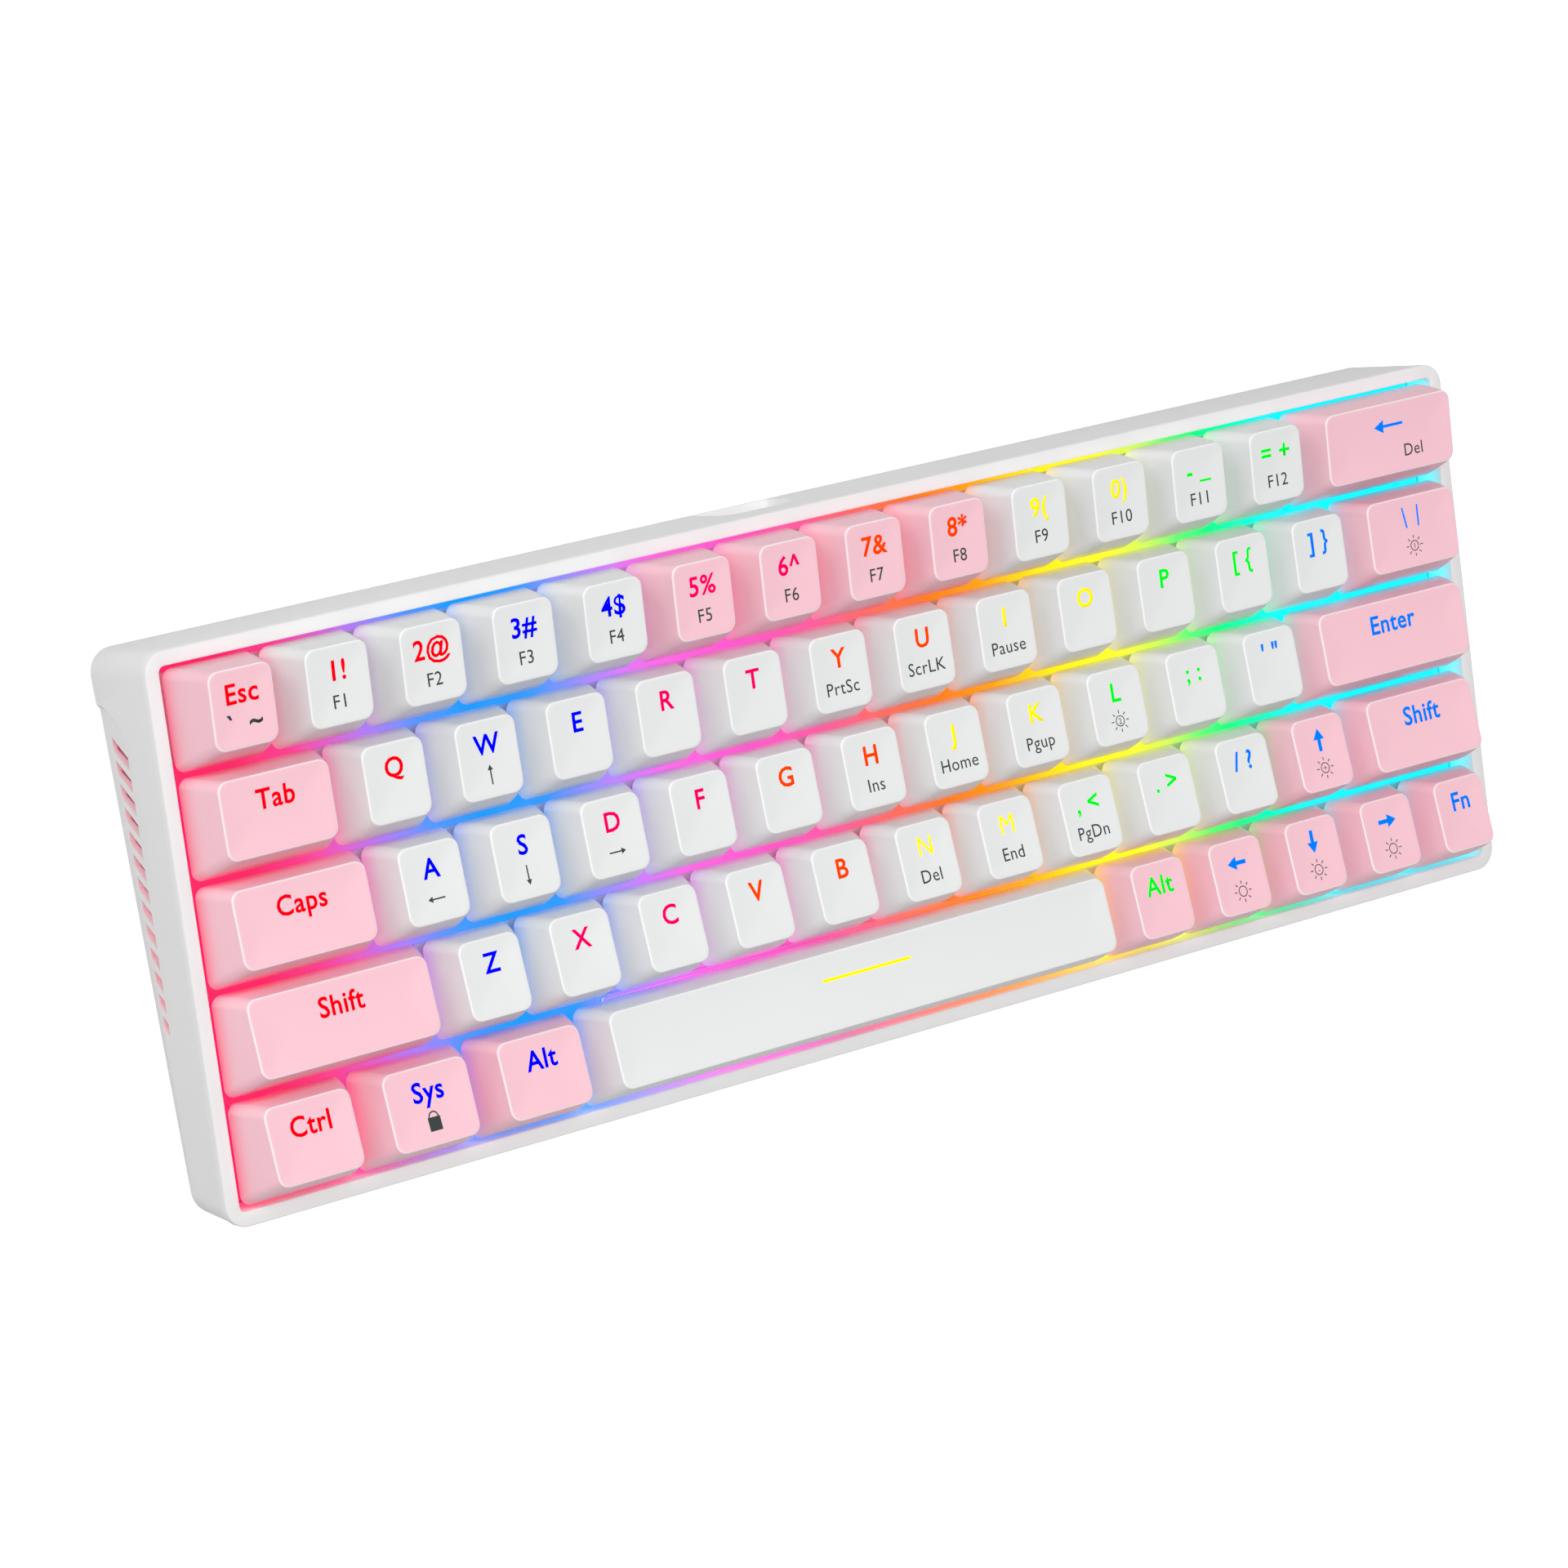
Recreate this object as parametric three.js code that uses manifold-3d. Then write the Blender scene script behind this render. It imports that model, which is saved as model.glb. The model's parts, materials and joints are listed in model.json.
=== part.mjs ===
// A compact mechanical keyboard: 63 keys in five rows on a sloping deck.
// Millimetres, +Z up, the keyboard lies on z = 0 with its space bar towards -Y.
//
// Two frames are used. The desk frame is the finished part's own. The deck frame is tilted
// by the typing slope: its z = 0 is the top of the rim, its origin is the middle of the
// opening, and the keys are pressed along its -Z.
import * as THREE from "three";
import { mergeVertices } from "three/addons/utils/BufferGeometryUtils.js";
import Module from "manifold-3d";

const wasm = await Module();
wasm.setup();

// ---------------------------------------------------------------- driving dimensions
const gap = 0.3; // free space kept between two pieces that rest on or slide in each other
const over = 1; // how far a cutting tool reaches past the surface it cuts

// Key grid
const keyPitch = 19.05;
const unitsPerRow = 15;

// Keycaps
const capGap = 0.95; // between the skirts of two neighbouring caps
const capSideInset = 2.85; // how far the top face stands in from the skirt, each side
const capFrontInset = 3.65;
const capRearInset = 0.65;
const capBaseRadius = 1.5;
const capTopRadius = 2.2;
const capWall = 1.5;
const capTopThickness = 1.6;
const capBaseDepth = 1.2; // skirt's lower edge under the rim
// Height of the top face over the skirt's lower edge, at its rear and front edges, row by row
const rowProfiles = [
  { rear: 10.6, front: 10.1 },
  { rear: 8.3, front: 8.8 },
  { rear: 7.3, front: 8.9 },
  { rear: 6.9, front: 9.4 },
  { rear: 7.2, front: 9.8 },
];

// Switches
const keyTravel = 3.8;
const sliderWidth = 6;
const sliderDepth = 5;
const sliderReach = 6; // slider's lower end under the cap's skirt
const housingBody = 13.8; // square body under the plate
const housingFlange = 15.4;
const flangeThickness = 0.9;
const housingTop = 9.2; // square upper end, small enough for a pressed cap to pass over
const housingRise = 6.6; // upper end over the plate

// Plate and board
const plateDepth = 7.2; // plate's upper face under the rim
const plateThickness = 1.5;
const plateToBoard = 5; // plate's upper face to the board's upper face
const boardThickness = 1.6;
const boardMargin = 3; // board's edge in from the case's inner wall, at the sides
const boardFrontMargin = 2.6; // the same at the front and rear

// Stabiliser wires
const wireRadius = 0.75;
const wireRise = 1.1; // wire's axis over the plate
const wireSetback = 8.7; // wire's axis from the key's middle
const wireArm = 8.7;
const wireLift = keyTravel / 2; // how far an arm's end stands over the wire's axis, key released
const stemSpanShort = 11.9; // stabiliser stem from the key's middle, on 2 to 2.75 unit keys
const stemSpanLong = 50; // the same on the space bar
const stemSize = 4;
const clipWall = 0.65;
const clipLength = 2;
const clipHeight = 1.8;
const armSlotWidth = 4.4;
const armSlotPast = 5; // how far the slot for an arm runs past the key's middle

// Case
const sideMargin = 0.5; // from the key grid to the rim's opening, left and right
const endMargin = 0.25; // the same, front and rear
const openingRadius = 1.2;
const rimWidth = 2.7;
const caseRadius = 4.5;
const rimChamfer = 0.8;
const lipDepth = 1.9; // outer edge of the top frame
const skirtWall = 1; // top frame's inner skirt
const wallDraft = 0.045; // inward lean of the outer walls, mm per mm
const typingSlope = 0.085; // rise of the deck, mm per mm
const wallFootRise = 0.82; // front wall's lower edge over the board's lower face
const bellyDrop = 5; // underside below the side wall's lower edge
const bellyRun = 6; // width of the bevel between them
const caseWall = 2.15;
const floorThickness = 2;
const bossRadius = 3;
const bossHole = 1.1;
const bossInsetX = 18; // outer bosses from the board's edges
const bossInsetY = 9;
const standHeight = 1.25; // underside over the desk

// Rear notch and socket
const socketAlong = -10.5; // middle of the socket along X
const notchWidth = 17;
const notchTop = 8.5; // under the rim
const notchDepth = 2.4;
const socketWidth = 9;
const socketHeight = 3.2;
const socketLength = 6.8;
const socketWall = 0.4;
const socketBack = 1; // closed inner end
const tongueInset = 2; // from the shell's sides
const tongueSetback = 1; // from the mouth
const tongueThickness = 0.8;

// Feet
const stripDepth = 8;
const stripSink = 0.8; // how far the strips are let into the underside
const frontStripLength = 220;
const rearStripLength = 180;
const stripInset = 3; // from the bevel's inner edge
const footAlong = 114; // flip-out foot from the middle
const footWidth = 17.2;
const footLength = 24;
const footThickness = 3.6;
const footPin = 1.2;
const footPinReach = 1.6;
const footInset = 7; // hinge axis in from the bevel's inner edge
const pocketSide = 0.4; // free space beside and behind a foot

// ---------------------------------------------------------------- derived sizes
const openingHalfX = (unitsPerRow * keyPitch) / 2 + sideMargin;
const openingHalfY = (rowProfiles.length * keyPitch) / 2 + endMargin;
const rimHalfX = openingHalfX + rimWidth;
const rimHalfY = openingHalfY + rimWidth;
const plateTop = -plateDepth;
const boardTop = plateTop - plateToBoard;
const boardBottom = boardTop - boardThickness;
const typingAngle = Math.atan(typingSlope);
const wallDepth = typingSlope * openingHalfY - boardBottom - wallFootRise; // at the middle
const bellyDepth = wallDepth + bellyDrop;
const deckLift = (bellyDepth + standHeight) * Math.cos(typingAngle);
const wireZ = plateTop + wireRise;
const wallTop = -lipDepth - gap;
const wallInset = wallDraft * (wallDepth + wallTop);
const wallHalfX = rimHalfX - wallInset;
const wallHalfY = rimHalfY - wallInset;
const bellyHalfX = wallHalfX - bellyRun;
const bellyHalfY = wallHalfY - bellyRun;
const boardHalfX = wallHalfX - caseWall - boardMargin;
const boardHalfY = wallHalfY - caseWall - boardFrontMargin;

// The deck frame's place in the desk frame, before the part is centred
const deckMatrix = new THREE.Matrix4()
  .makeRotationX(typingAngle)
  .setPosition(0, 0, deckLift);
const deskToDeck = deckMatrix.clone().invert();

// ---------------------------------------------------------------- solids
function solidOf(geometry) {
  const bare = geometry.clone();
  bare.deleteAttribute("normal");
  bare.deleteAttribute("uv");
  const merged = mergeVertices(bare, 1e-4);
  return new wasm.Manifold(
    new wasm.Mesh({
      numProp: 3,
      vertProperties: new Float32Array(merged.attributes.position.array),
      triVerts: new Uint32Array(merged.index.array),
    }),
  );
}

function geometryOf(solid) {
  const mesh = solid.getMesh();
  const geometry = new THREE.BufferGeometry();
  geometry.setAttribute("position", new THREE.BufferAttribute(mesh.vertProperties, 3));
  geometry.setIndex(new THREE.BufferAttribute(mesh.triVerts, 1));
  return geometry;
}

function boxSolid(low, high, matrix) {
  const geometry = new THREE.BoxGeometry(high[0] - low[0], high[1] - low[1], high[2] - low[2]);
  geometry.translate((low[0] + high[0]) / 2, (low[1] + high[1]) / 2, (low[2] + high[2]) / 2);
  if (matrix) geometry.applyMatrix4(matrix);
  return solidOf(geometry);
}

// A cylinder along X, from x0 to x1 through (y, z)
function rodSolid(x0, x1, y, z, radius, matrix, sides = 12) {
  const geometry = new THREE.CylinderGeometry(radius, radius, x1 - x0, sides);
  geometry.rotateZ(Math.PI / 2);
  geometry.translate((x0 + x1) / 2, y, z);
  if (matrix) geometry.applyMatrix4(matrix);
  return solidOf(geometry);
}

// An upright post with a round section
function postSolid(x, y, z0, z1, radius, sides = 12) {
  const geometry = new THREE.CylinderGeometry(radius, radius, z1 - z0, sides);
  geometry.rotateX(Math.PI / 2);
  geometry.translate(x, y, (z0 + z1) / 2);
  return solidOf(geometry);
}

// Rounded rectangle, anticlockwise, as points on the plane z = height + slope * y
function outline({ x0, x1, y0, y1, radius, height, slope = 0, cornerSteps = 3 }) {
  const corners = [
    [x1 - radius, y1 - radius, 0],
    [x0 + radius, y1 - radius, 1],
    [x0 + radius, y0 + radius, 2],
    [x1 - radius, y0 + radius, 3],
  ];
  const points = [];
  for (const [cx, cy, quarter] of corners) {
    for (let step = 0; step <= cornerSteps; step += 1) {
      const turn = (quarter + step / cornerSteps) * (Math.PI / 2);
      const y = cy + radius * Math.sin(turn);
      points.push(new THREE.Vector3(cx + radius * Math.cos(turn), y, height + slope * y));
    }
  }
  return points;
}

// The same outline about the middle of the deck
function centredOutline(halfX, halfY, radius, height, slope = 0, cornerSteps = 4) {
  return outline({
    x0: -halfX, x1: halfX, y0: -halfY, y1: halfY, radius, height, slope, cornerSteps,
  });
}

// A closed body through outlines that lie one above the other, lowest first
function loftSolid(rings) {
  const count = rings[0].length;
  const positions = rings.flat().flatMap((point) => [point.x, point.y, point.z]);
  const index = [];
  for (let level = 0; level + 1 < rings.length; level += 1) {
    for (let i = 0; i < count; i += 1) {
      const a = level * count + i;
      const b = level * count + ((i + 1) % count);
      index.push(a, b, b + count, a, b + count, a + count);
    }
  }
  const last = (rings.length - 1) * count;
  for (let i = 1; i + 1 < count; i += 1) {
    index.push(0, i + 1, i);
    index.push(last, last + i, last + i + 1);
  }
  const geometry = new THREE.BufferGeometry();
  geometry.setAttribute("position", new THREE.Float32BufferAttribute(positions, 3));
  geometry.setIndex(index);
  return solidOf(geometry);
}

const joined = (solids) => solids.reduce((whole, solid) => whole.add(solid));
const without = (solid, tools) => tools.reduce((rest, tool) => rest.subtract(tool), solid);

// ---------------------------------------------------------------- key layout
// Each entry is a key's name and its width in units. A key marked "fixed" has its cap
// joined to its switch on the board.
const layout = [
  [["esc", 1], ["1", 1], ["2", 1], ["3", 1], ["4", 1], ["5", 1], ["6", 1], ["7", 1], ["8", 1],
    ["9", 1], ["0", 1], ["minus", 1, "fixed"], ["equals", 1, "fixed"], ["backspace", 2]],
  [["tab", 1.5], ["q", 1], ["w", 1], ["e", 1], ["r", 1], ["t", 1], ["y", 1], ["u", 1], ["i", 1],
    ["o", 1], ["p", 1], ["bracket_left", 1, "fixed"], ["bracket_right", 1, "fixed"],
    ["backslash", 1.5, "fixed"]],
  [["caps", 1.75, "fixed"], ["a", 1], ["s", 1], ["d", 1], ["f", 1], ["g", 1], ["h", 1], ["j", 1],
    ["k", 1], ["l", 1], ["semicolon", 1, "fixed"], ["quote", 1, "fixed"], ["enter", 2.25]],
  [["shift_left", 2.25], ["z", 1], ["x", 1], ["c", 1], ["v", 1], ["b", 1], ["n", 1], ["m", 1],
    ["comma", 1, "fixed"], ["period", 1, "fixed"], ["slash", 1, "fixed"], ["up", 1],
    ["shift_right", 1.75]],
  [["ctrl", 1.25, "fixed"], ["system", 1.25, "fixed"], ["alt_left", 1.25, "fixed"],
    ["space", 6.25], ["alt_right", 1, "fixed"], ["left", 1], ["down", 1], ["right", 1],
    ["fn", 1, "fixed"]],
];
// Long keys ride on a wire, which lies in front of the key's middle (-1) or behind it (1)
const stabilised = {
  backspace: { span: stemSpanShort, wireSide: -1 },
  enter: { span: stemSpanShort, wireSide: -1 },
  shift_left: { span: stemSpanShort, wireSide: -1 },
  space: { span: stemSpanLong, wireSide: 1 },
};

const keys = layout.flatMap((row, rowIndex) => {
  let edge = (-unitsPerRow * keyPitch) / 2;
  return row.map(([name, units, hold]) => {
    const x = edge + (units * keyPitch) / 2;
    edge += units * keyPitch;
    const y = ((layout.length - 1) / 2 - rowIndex) * keyPitch;
    return { name, units, rowIndex, x, y, fixed: hold === "fixed", ...stabilised[name] };
  });
});

// ---------------------------------------------------------------- keycaps
// The cap is a tapered shell, made about the key's own middle, with its switch slider
function keycapSolid({ units, rowIndex, span = 0 }) {
  const profile = rowProfiles[rowIndex];
  const halfX = (units * keyPitch - capGap) / 2;
  const halfY = (keyPitch - capGap) / 2;
  const topFront = -halfY + capFrontInset;
  const topRear = halfY - capRearInset;
  const topSlope = (profile.rear - profile.front) / (topRear - topFront);
  const topHeight = -capBaseDepth + profile.front - topSlope * topFront;
  const shell = (wall, top, base) => loftSolid([
    outline({ x0: -halfX + wall, x1: halfX - wall, y0: -halfY + wall, y1: halfY - wall,
      radius: capBaseRadius - wall / 2, height: base, cornerSteps: wall ? 1 : 2 }),
    outline({ x0: -halfX + capSideInset + wall, x1: halfX - capSideInset - wall,
      y0: topFront + wall, y1: topRear - wall, radius: capTopRadius - wall / 2,
      height: topHeight - top, slope: topSlope, cornerSteps: wall ? 1 : 2 }),
  ]);
  const ceiling = topHeight - (Math.abs(topSlope) * sliderDepth) / 2 - capTopThickness / 2;
  const slider = boxSolid(
    [-sliderWidth / 2, -sliderDepth / 2, -capBaseDepth - sliderReach],
    [sliderWidth / 2, sliderDepth / 2, ceiling],
  );
  const armRise = Math.tan(Math.asin(wireLift / wireArm));
  const stemEnd = wireZ + wireLift + wireRadius + gap + (armRise * stemSize) / 2;
  const stems = (span ? [-span, span] : []).map((x) => boxSolid(
    [x - stemSize / 2, -stemSize / 2, stemEnd],
    [x + stemSize / 2, stemSize / 2, ceiling],
  ));
  const hollow = shell(capWall, capTopThickness, -capBaseDepth)
    .add(boxSolid([-halfX + capWall + capBaseRadius, -halfY + capWall + capBaseRadius,
      -capBaseDepth - over], [halfX - capWall - capBaseRadius,
      halfY - capWall - capBaseRadius, -capBaseDepth + over]));
  return joined([shell(0, 0, -capBaseDepth).subtract(hollow), slider, ...stems]);
}

// ---------------------------------------------------------------- board and switches
function housingSolid({ x, y }) {
  const square = (half, height) => [[1, 1], [-1, 1], [-1, -1], [1, -1]].map(([toX, toY]) => (
    new THREE.Vector3(x + toX * half, y + toY * half, height)));
  const flangeBottom = plateTop + gap;
  const flangeTop = flangeBottom + flangeThickness;
  const half = housingBody / 2;
  return joined([
    boxSolid([x - half, y - half, boardTop - boardThickness / 2], [x + half, y + half, flangeTop]),
    boxSolid([x - housingFlange / 2, y - housingFlange / 2, flangeBottom],
      [x + housingFlange / 2, y + housingFlange / 2, flangeTop]),
    loftSolid([square(half, flangeTop - flangeThickness / 2),
      square(housingTop / 2, plateTop + housingRise)]),
  ]);
}

// The well that a slider moves in
const wellSolid = ({ x, y }) => boxSolid(
  [x - sliderWidth / 2 - gap, y - sliderDepth / 2 - gap, boardTop + gap],
  [x + sliderWidth / 2 + gap, y + sliderDepth / 2 + gap, plateTop + housingRise + over],
);

function placedCap(key) {
  const geometry = geometryOf(keycapSolid(key));
  geometry.translate(key.x, key.y, 0);
  return solidOf(geometry);
}

function circuitBoardSolid() {
  const board = boxSolid([-boardHalfX, -boardHalfY, boardBottom],
    [boardHalfX, boardHalfY, boardTop]);
  const populated = joined([board, ...keys.map(housingSolid)]);
  const wells = keys.filter((key) => !key.fixed).map(wellSolid);
  return joined([without(populated, wells), ...keys.filter((key) => key.fixed).map(placedCap)]);
}

const stabilisedKeys = keys.filter((key) => key.span);
const stemPlaces = stabilisedKeys.flatMap((key) => [-1, 1].map((side) => (
  { x: key.x + side * key.span, y: key.y, side, wireSide: key.wireSide }
)));

function switchPlateSolid() {
  const halfX = openingHalfX - gap;
  const halfY = openingHalfY - gap;
  const bottom = plateTop - plateThickness;
  const plate = boxSolid([-halfX, -halfY, bottom], [halfX, halfY, plateTop]);
  const holeHalf = housingBody / 2 + gap;
  const holes = keys.map(({ x, y }) => boxSolid(
    [x - holeHalf, y - holeHalf, bottom - over], [x + holeHalf, y + holeHalf, plateTop + over],
  ));
  const slots = stemPlaces.map(({ x, y, wireSide }) => {
    const near = y + wireSide * (wireSetback - wireRadius - gap);
    const far = y - wireSide * armSlotPast;
    return boxSolid([x - armSlotWidth / 2, Math.min(near, far), bottom - over],
      [x + armSlotWidth / 2, Math.max(near, far), plateTop + over]);
  });
  const reach = wireRadius + gap;
  const clips = stemPlaces.flatMap(({ x, y, side, wireSide }) => [-1, 1].map((face) => {
    const middleX = x + side * (wireRadius + 2 * gap + clipLength / 2);
    const middleY = y + wireSide * wireSetback + face * (reach + clipWall / 2);
    return boxSolid([middleX - clipLength / 2, middleY - clipWall / 2, plateTop - over],
      [middleX + clipLength / 2, middleY + clipWall / 2, plateTop + clipHeight]);
  }));
  return joined([without(plate, [...holes, ...slots]), ...clips]);
}

// A wire lies along X with an arm at each end, made about its own axis
function wireSolid({ span, wireSide }) {
  const tilt = Math.asin(wireLift / wireArm);
  const past = wireRadius + 3 * gap + clipLength;
  const arms = [-span, span].map((x) => {
    const geometry = new THREE.CylinderGeometry(wireRadius, wireRadius, wireArm, 8);
    geometry.translate(0, wireArm / 2, 0);
    geometry.rotateX(tilt);
    if (wireSide > 0) geometry.rotateZ(Math.PI);
    geometry.translate(x, 0, 0);
    return solidOf(geometry);
  });
  return joined([rodSolid(-span - past, span + past, 0, 0, wireRadius, null, 8), ...arms]);
}

// ---------------------------------------------------------------- case
function topFrameSolid() {
  const outer = loftSolid([
    centredOutline(rimHalfX, rimHalfY, caseRadius, -lipDepth),
    centredOutline(rimHalfX, rimHalfY, caseRadius, -rimChamfer),
    centredOutline(rimHalfX - rimChamfer, rimHalfY - rimChamfer, caseRadius - rimChamfer, 0),
  ]);
  const skirt = loftSolid([
    centredOutline(openingHalfX + skirtWall, openingHalfY + skirtWall,
      openingRadius + skirtWall, plateTop + gap),
    centredOutline(openingHalfX + skirtWall, openingHalfY + skirtWall,
      openingRadius + skirtWall, -lipDepth / 2),
  ]);
  const opening = loftSolid([
    centredOutline(openingHalfX, openingHalfY, openingRadius, plateTop - over),
    centredOutline(openingHalfX, openingHalfY, openingRadius, over),
  ]);
  return outer.add(skirt).subtract(opening);
}

const wallFoot = (y) => -wallDepth - typingSlope * y;
const wallFaceY = (z) => rimHalfY - wallDraft * (wallTop - z);

function caseOuterSolid() {
  return loftSolid([
    centredOutline(bellyHalfX, bellyHalfY, caseRadius, -bellyDepth, -typingSlope),
    centredOutline(wallHalfX, wallHalfY, caseRadius, -wallDepth, -typingSlope),
    centredOutline(rimHalfX, rimHalfY, caseRadius, wallTop),
  ]);
}

function caseCavitySolid() {
  const mouthX = openingHalfX + skirtWall + gap;
  const mouthY = openingHalfY + skirtWall + gap;
  const plateLevel = plateTop - plateThickness - gap;
  const radius = openingRadius + skirtWall + gap;
  const innerFoot = wallDepth - floorThickness / 2;
  return loftSolid([
    centredOutline(bellyHalfX - floorThickness / 2, bellyHalfY - floorThickness / 2, radius,
      -bellyDepth + floorThickness, -typingSlope),
    centredOutline(wallHalfX - caseWall, wallHalfY - caseWall, radius, -innerFoot, -typingSlope),
    centredOutline(mouthX, mouthY, radius, plateLevel),
    centredOutline(mouthX, mouthY, radius, wallTop + over),
  ]);
}

const deskBelly = standHeight;
const bellyRearY = bellyHalfY * Math.cos(typingAngle)
  + (bellyDepth + typingSlope * bellyHalfY) * Math.sin(typingAngle);
const bellyFrontY = -bellyHalfY * Math.cos(typingAngle)
  + (bellyDepth - typingSlope * bellyHalfY) * Math.sin(typingAngle);
const footAxisY = bellyRearY - footInset;
const footAxisZ = deskBelly + footThickness / 2;
const rearStripY = bellyRearY - stripInset;
const frontStripY = bellyFrontY + stripInset;
const pocketTop = deskBelly + footThickness + 2 * gap;

function footPocket(side) {
  const x = side * footAlong;
  const half = footWidth / 2 + pocketSide;
  const front = footAxisY - footLength - pocketSide;
  const rear = footAxisY + footThickness / 2 + pocketSide;
  const pinHalf = footWidth / 2 + footPinReach + gap;
  return {
    wall: boxSolid([x - half - caseWall - footPinReach, front - caseWall, deskBelly + gap],
      [x + half + caseWall + footPinReach, rear + caseWall, pocketTop + floorThickness],
      deskToDeck),
    cut: boxSolid([x - half, front, 0], [x + half, rear, pocketTop], deskToDeck)
      .add(rodSolid(x - pinHalf, x + pinHalf, footAxisY, footAxisZ, footPin + gap, deskToDeck)),
  };
}

function bottomCaseSolid() {
  const rearFace = wallFaceY(boardBottom);
  const notch = boxSolid(
    [socketAlong - notchWidth / 2, rearFace - notchDepth, wallFoot(rimHalfY) - over],
    [socketAlong + notchWidth / 2, rimHalfY + over, -notchTop],
  );
  const notchWall = boxSolid(
    [socketAlong - notchWidth / 2 - caseWall, rearFace - notchDepth - skirtWall,
      wallFoot(rimHalfY) - bellyDrop],
    [socketAlong + notchWidth / 2 + caseWall, rearFace - over, -notchTop - over],
  );
  const socketHole = boxSolid(
    [socketAlong - socketWidth / 2 - gap, rearFace - 2 * caseWall - notchDepth,
      boardBottom - 2 * gap - socketHeight],
    [socketAlong + socketWidth / 2 + gap, rimHalfY, boardBottom],
  );
  const pockets = [-1, 1].map(footPocket);
  const strips = stripPlaces.map(({ length, y }) => boxSolid(
    [-length / 2 - gap, y - stripDepth / 2 - gap, 0],
    [length / 2 + gap, y + stripDepth / 2 + gap, deskBelly + stripSink], deskToDeck,
  ));
  const bossX = boardHalfX - bossInsetX;
  const bossY = boardHalfY - bossInsetY;
  const bossPlaces = [-bossX, 0, bossX].flatMap((x) => [-bossY, 0, bossY].map((y) => [x, y]))
    .filter(([x, y]) => y < bossY || x === 0);
  const bossFoot = (y) => -bellyDepth - typingSlope * y + floorThickness / 2;
  const bosses = bossPlaces.map(([x, y]) => (
    postSolid(x, y, bossFoot(y), boardBottom - gap, bossRadius)));
  const bossHoles = bossPlaces.map(([x, y]) => (
    postSolid(x, y, bossFoot(y) + floorThickness, boardBottom + over, bossHole, 8)));
  const outer = caseOuterSolid();
  const inside = joined([notchWall, ...pockets.map((pocket) => pocket.wall), ...bosses]);
  const shell = outer.subtract(caseCavitySolid()).add(inside.intersect(outer));
  return without(shell, [notch, socketHole, ...pockets.map((pocket) => pocket.cut),
    ...strips, ...bossHoles]);
}

const stripPlaces = [
  { name: "rubber_strip_front", length: frontStripLength, y: frontStripY + stripDepth / 2 },
  { name: "rubber_strip_rear", length: rearStripLength, y: rearStripY - stripDepth / 2 },
];

// The socket's metal shell, open to the rear
function socketSolid() {
  const top = boardBottom - gap;
  const rear = wallFaceY(boardBottom) - notchDepth - gap;
  const [x0, x1] = [socketAlong - socketWidth / 2, socketAlong + socketWidth / 2];
  const shell = boxSolid([x0, rear - socketLength, top - socketHeight], [x1, rear, top]);
  const mouth = boxSolid(
    [x0 + socketWall, rear - socketLength + socketBack, top - socketHeight + socketWall],
    [x1 - socketWall, rear + over, top - socketWall],
  );
  const tongueZ = top - socketHeight / 2;
  const tongue = boxSolid(
    [x0 + tongueInset, rear - socketLength + socketBack / 2, tongueZ - tongueThickness / 2],
    [x1 - tongueInset, rear - tongueSetback, tongueZ + tongueThickness / 2],
  );
  return shell.subtract(mouth).add(tongue);
}

// A flip-out foot, made about its hinge axis and lying flat towards the front
function footSolid() {
  const half = footThickness / 2;
  return joined([
    boxSolid([-footWidth / 2, -footLength, -half], [footWidth / 2, 0, half]),
    rodSolid(-footWidth / 2, footWidth / 2, 0, 0, half, null, 16),
    rodSolid(-footWidth / 2 - footPinReach, footWidth / 2 + footPinReach, 0, 0, footPin),
  ]);
}

// ---------------------------------------------------------------- materials
const finishes = {
  white: new THREE.MeshStandardMaterial({ color: 0xf3f4f4, roughness: 0.5, metalness: 0 }),
  pale: new THREE.MeshStandardMaterial({ color: 0xeceded, roughness: 0.42, metalness: 0 }),
  pink: new THREE.MeshStandardMaterial({ color: 0xf2bccd, roughness: 0.42, metalness: 0 }),
  board: new THREE.MeshStandardMaterial({ color: 0xe9e9e9, roughness: 0.6, metalness: 0 }),
  plate: new THREE.MeshStandardMaterial({ color: 0xf0f0f2, roughness: 0.45, metalness: 0.3 }),
  steel: new THREE.MeshStandardMaterial({ color: 0xb9bcc0, roughness: 0.3, metalness: 1 }),
  rubber: new THREE.MeshStandardMaterial({ color: 0x2b2b2d, roughness: 0.85, metalness: 0 }),
};
const pinkKeys = new Set(["esc", "5", "6", "7", "8", "backspace", "tab", "enter", "shift_left",
  "shift_right", "up", "left", "down", "right"]);

// ---------------------------------------------------------------- assembly
const keyboard = new THREE.Group();
const deck = new THREE.Group();
deck.rotation.x = typingAngle;
deck.position.z = deckLift;
keyboard.add(deck);

function addPiece(parent, name, solid, material, place = [0, 0, 0]) {
  const mesh = new THREE.Mesh(geometryOf(solid), material);
  mesh.name = name;
  mesh.position.set(...place);
  parent.add(mesh);
}

addPiece(deck, "bottom_case", bottomCaseSolid(), finishes.white);
addPiece(deck, "top_frame", topFrameSolid(), finishes.white);
addPiece(deck, "switch_plate", switchPlateSolid(), finishes.plate);
addPiece(deck, "circuit_board", circuitBoardSolid(), finishes.board);
addPiece(deck, "usb_socket", socketSolid(), finishes.steel);

for (const key of keys.filter((each) => !each.fixed)) {
  const material = pinkKeys.has(key.name) ? finishes.pink : finishes.pale;
  addPiece(deck, `key_${key.name}`, keycapSolid(key), material, [key.x, key.y, 0]);
}

for (const key of stabilisedKeys) {
  const place = [key.x, key.y + key.wireSide * wireSetback, wireZ];
  addPiece(deck, `wire_${key.name}`, wireSolid(key), finishes.steel, place);
}

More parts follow.
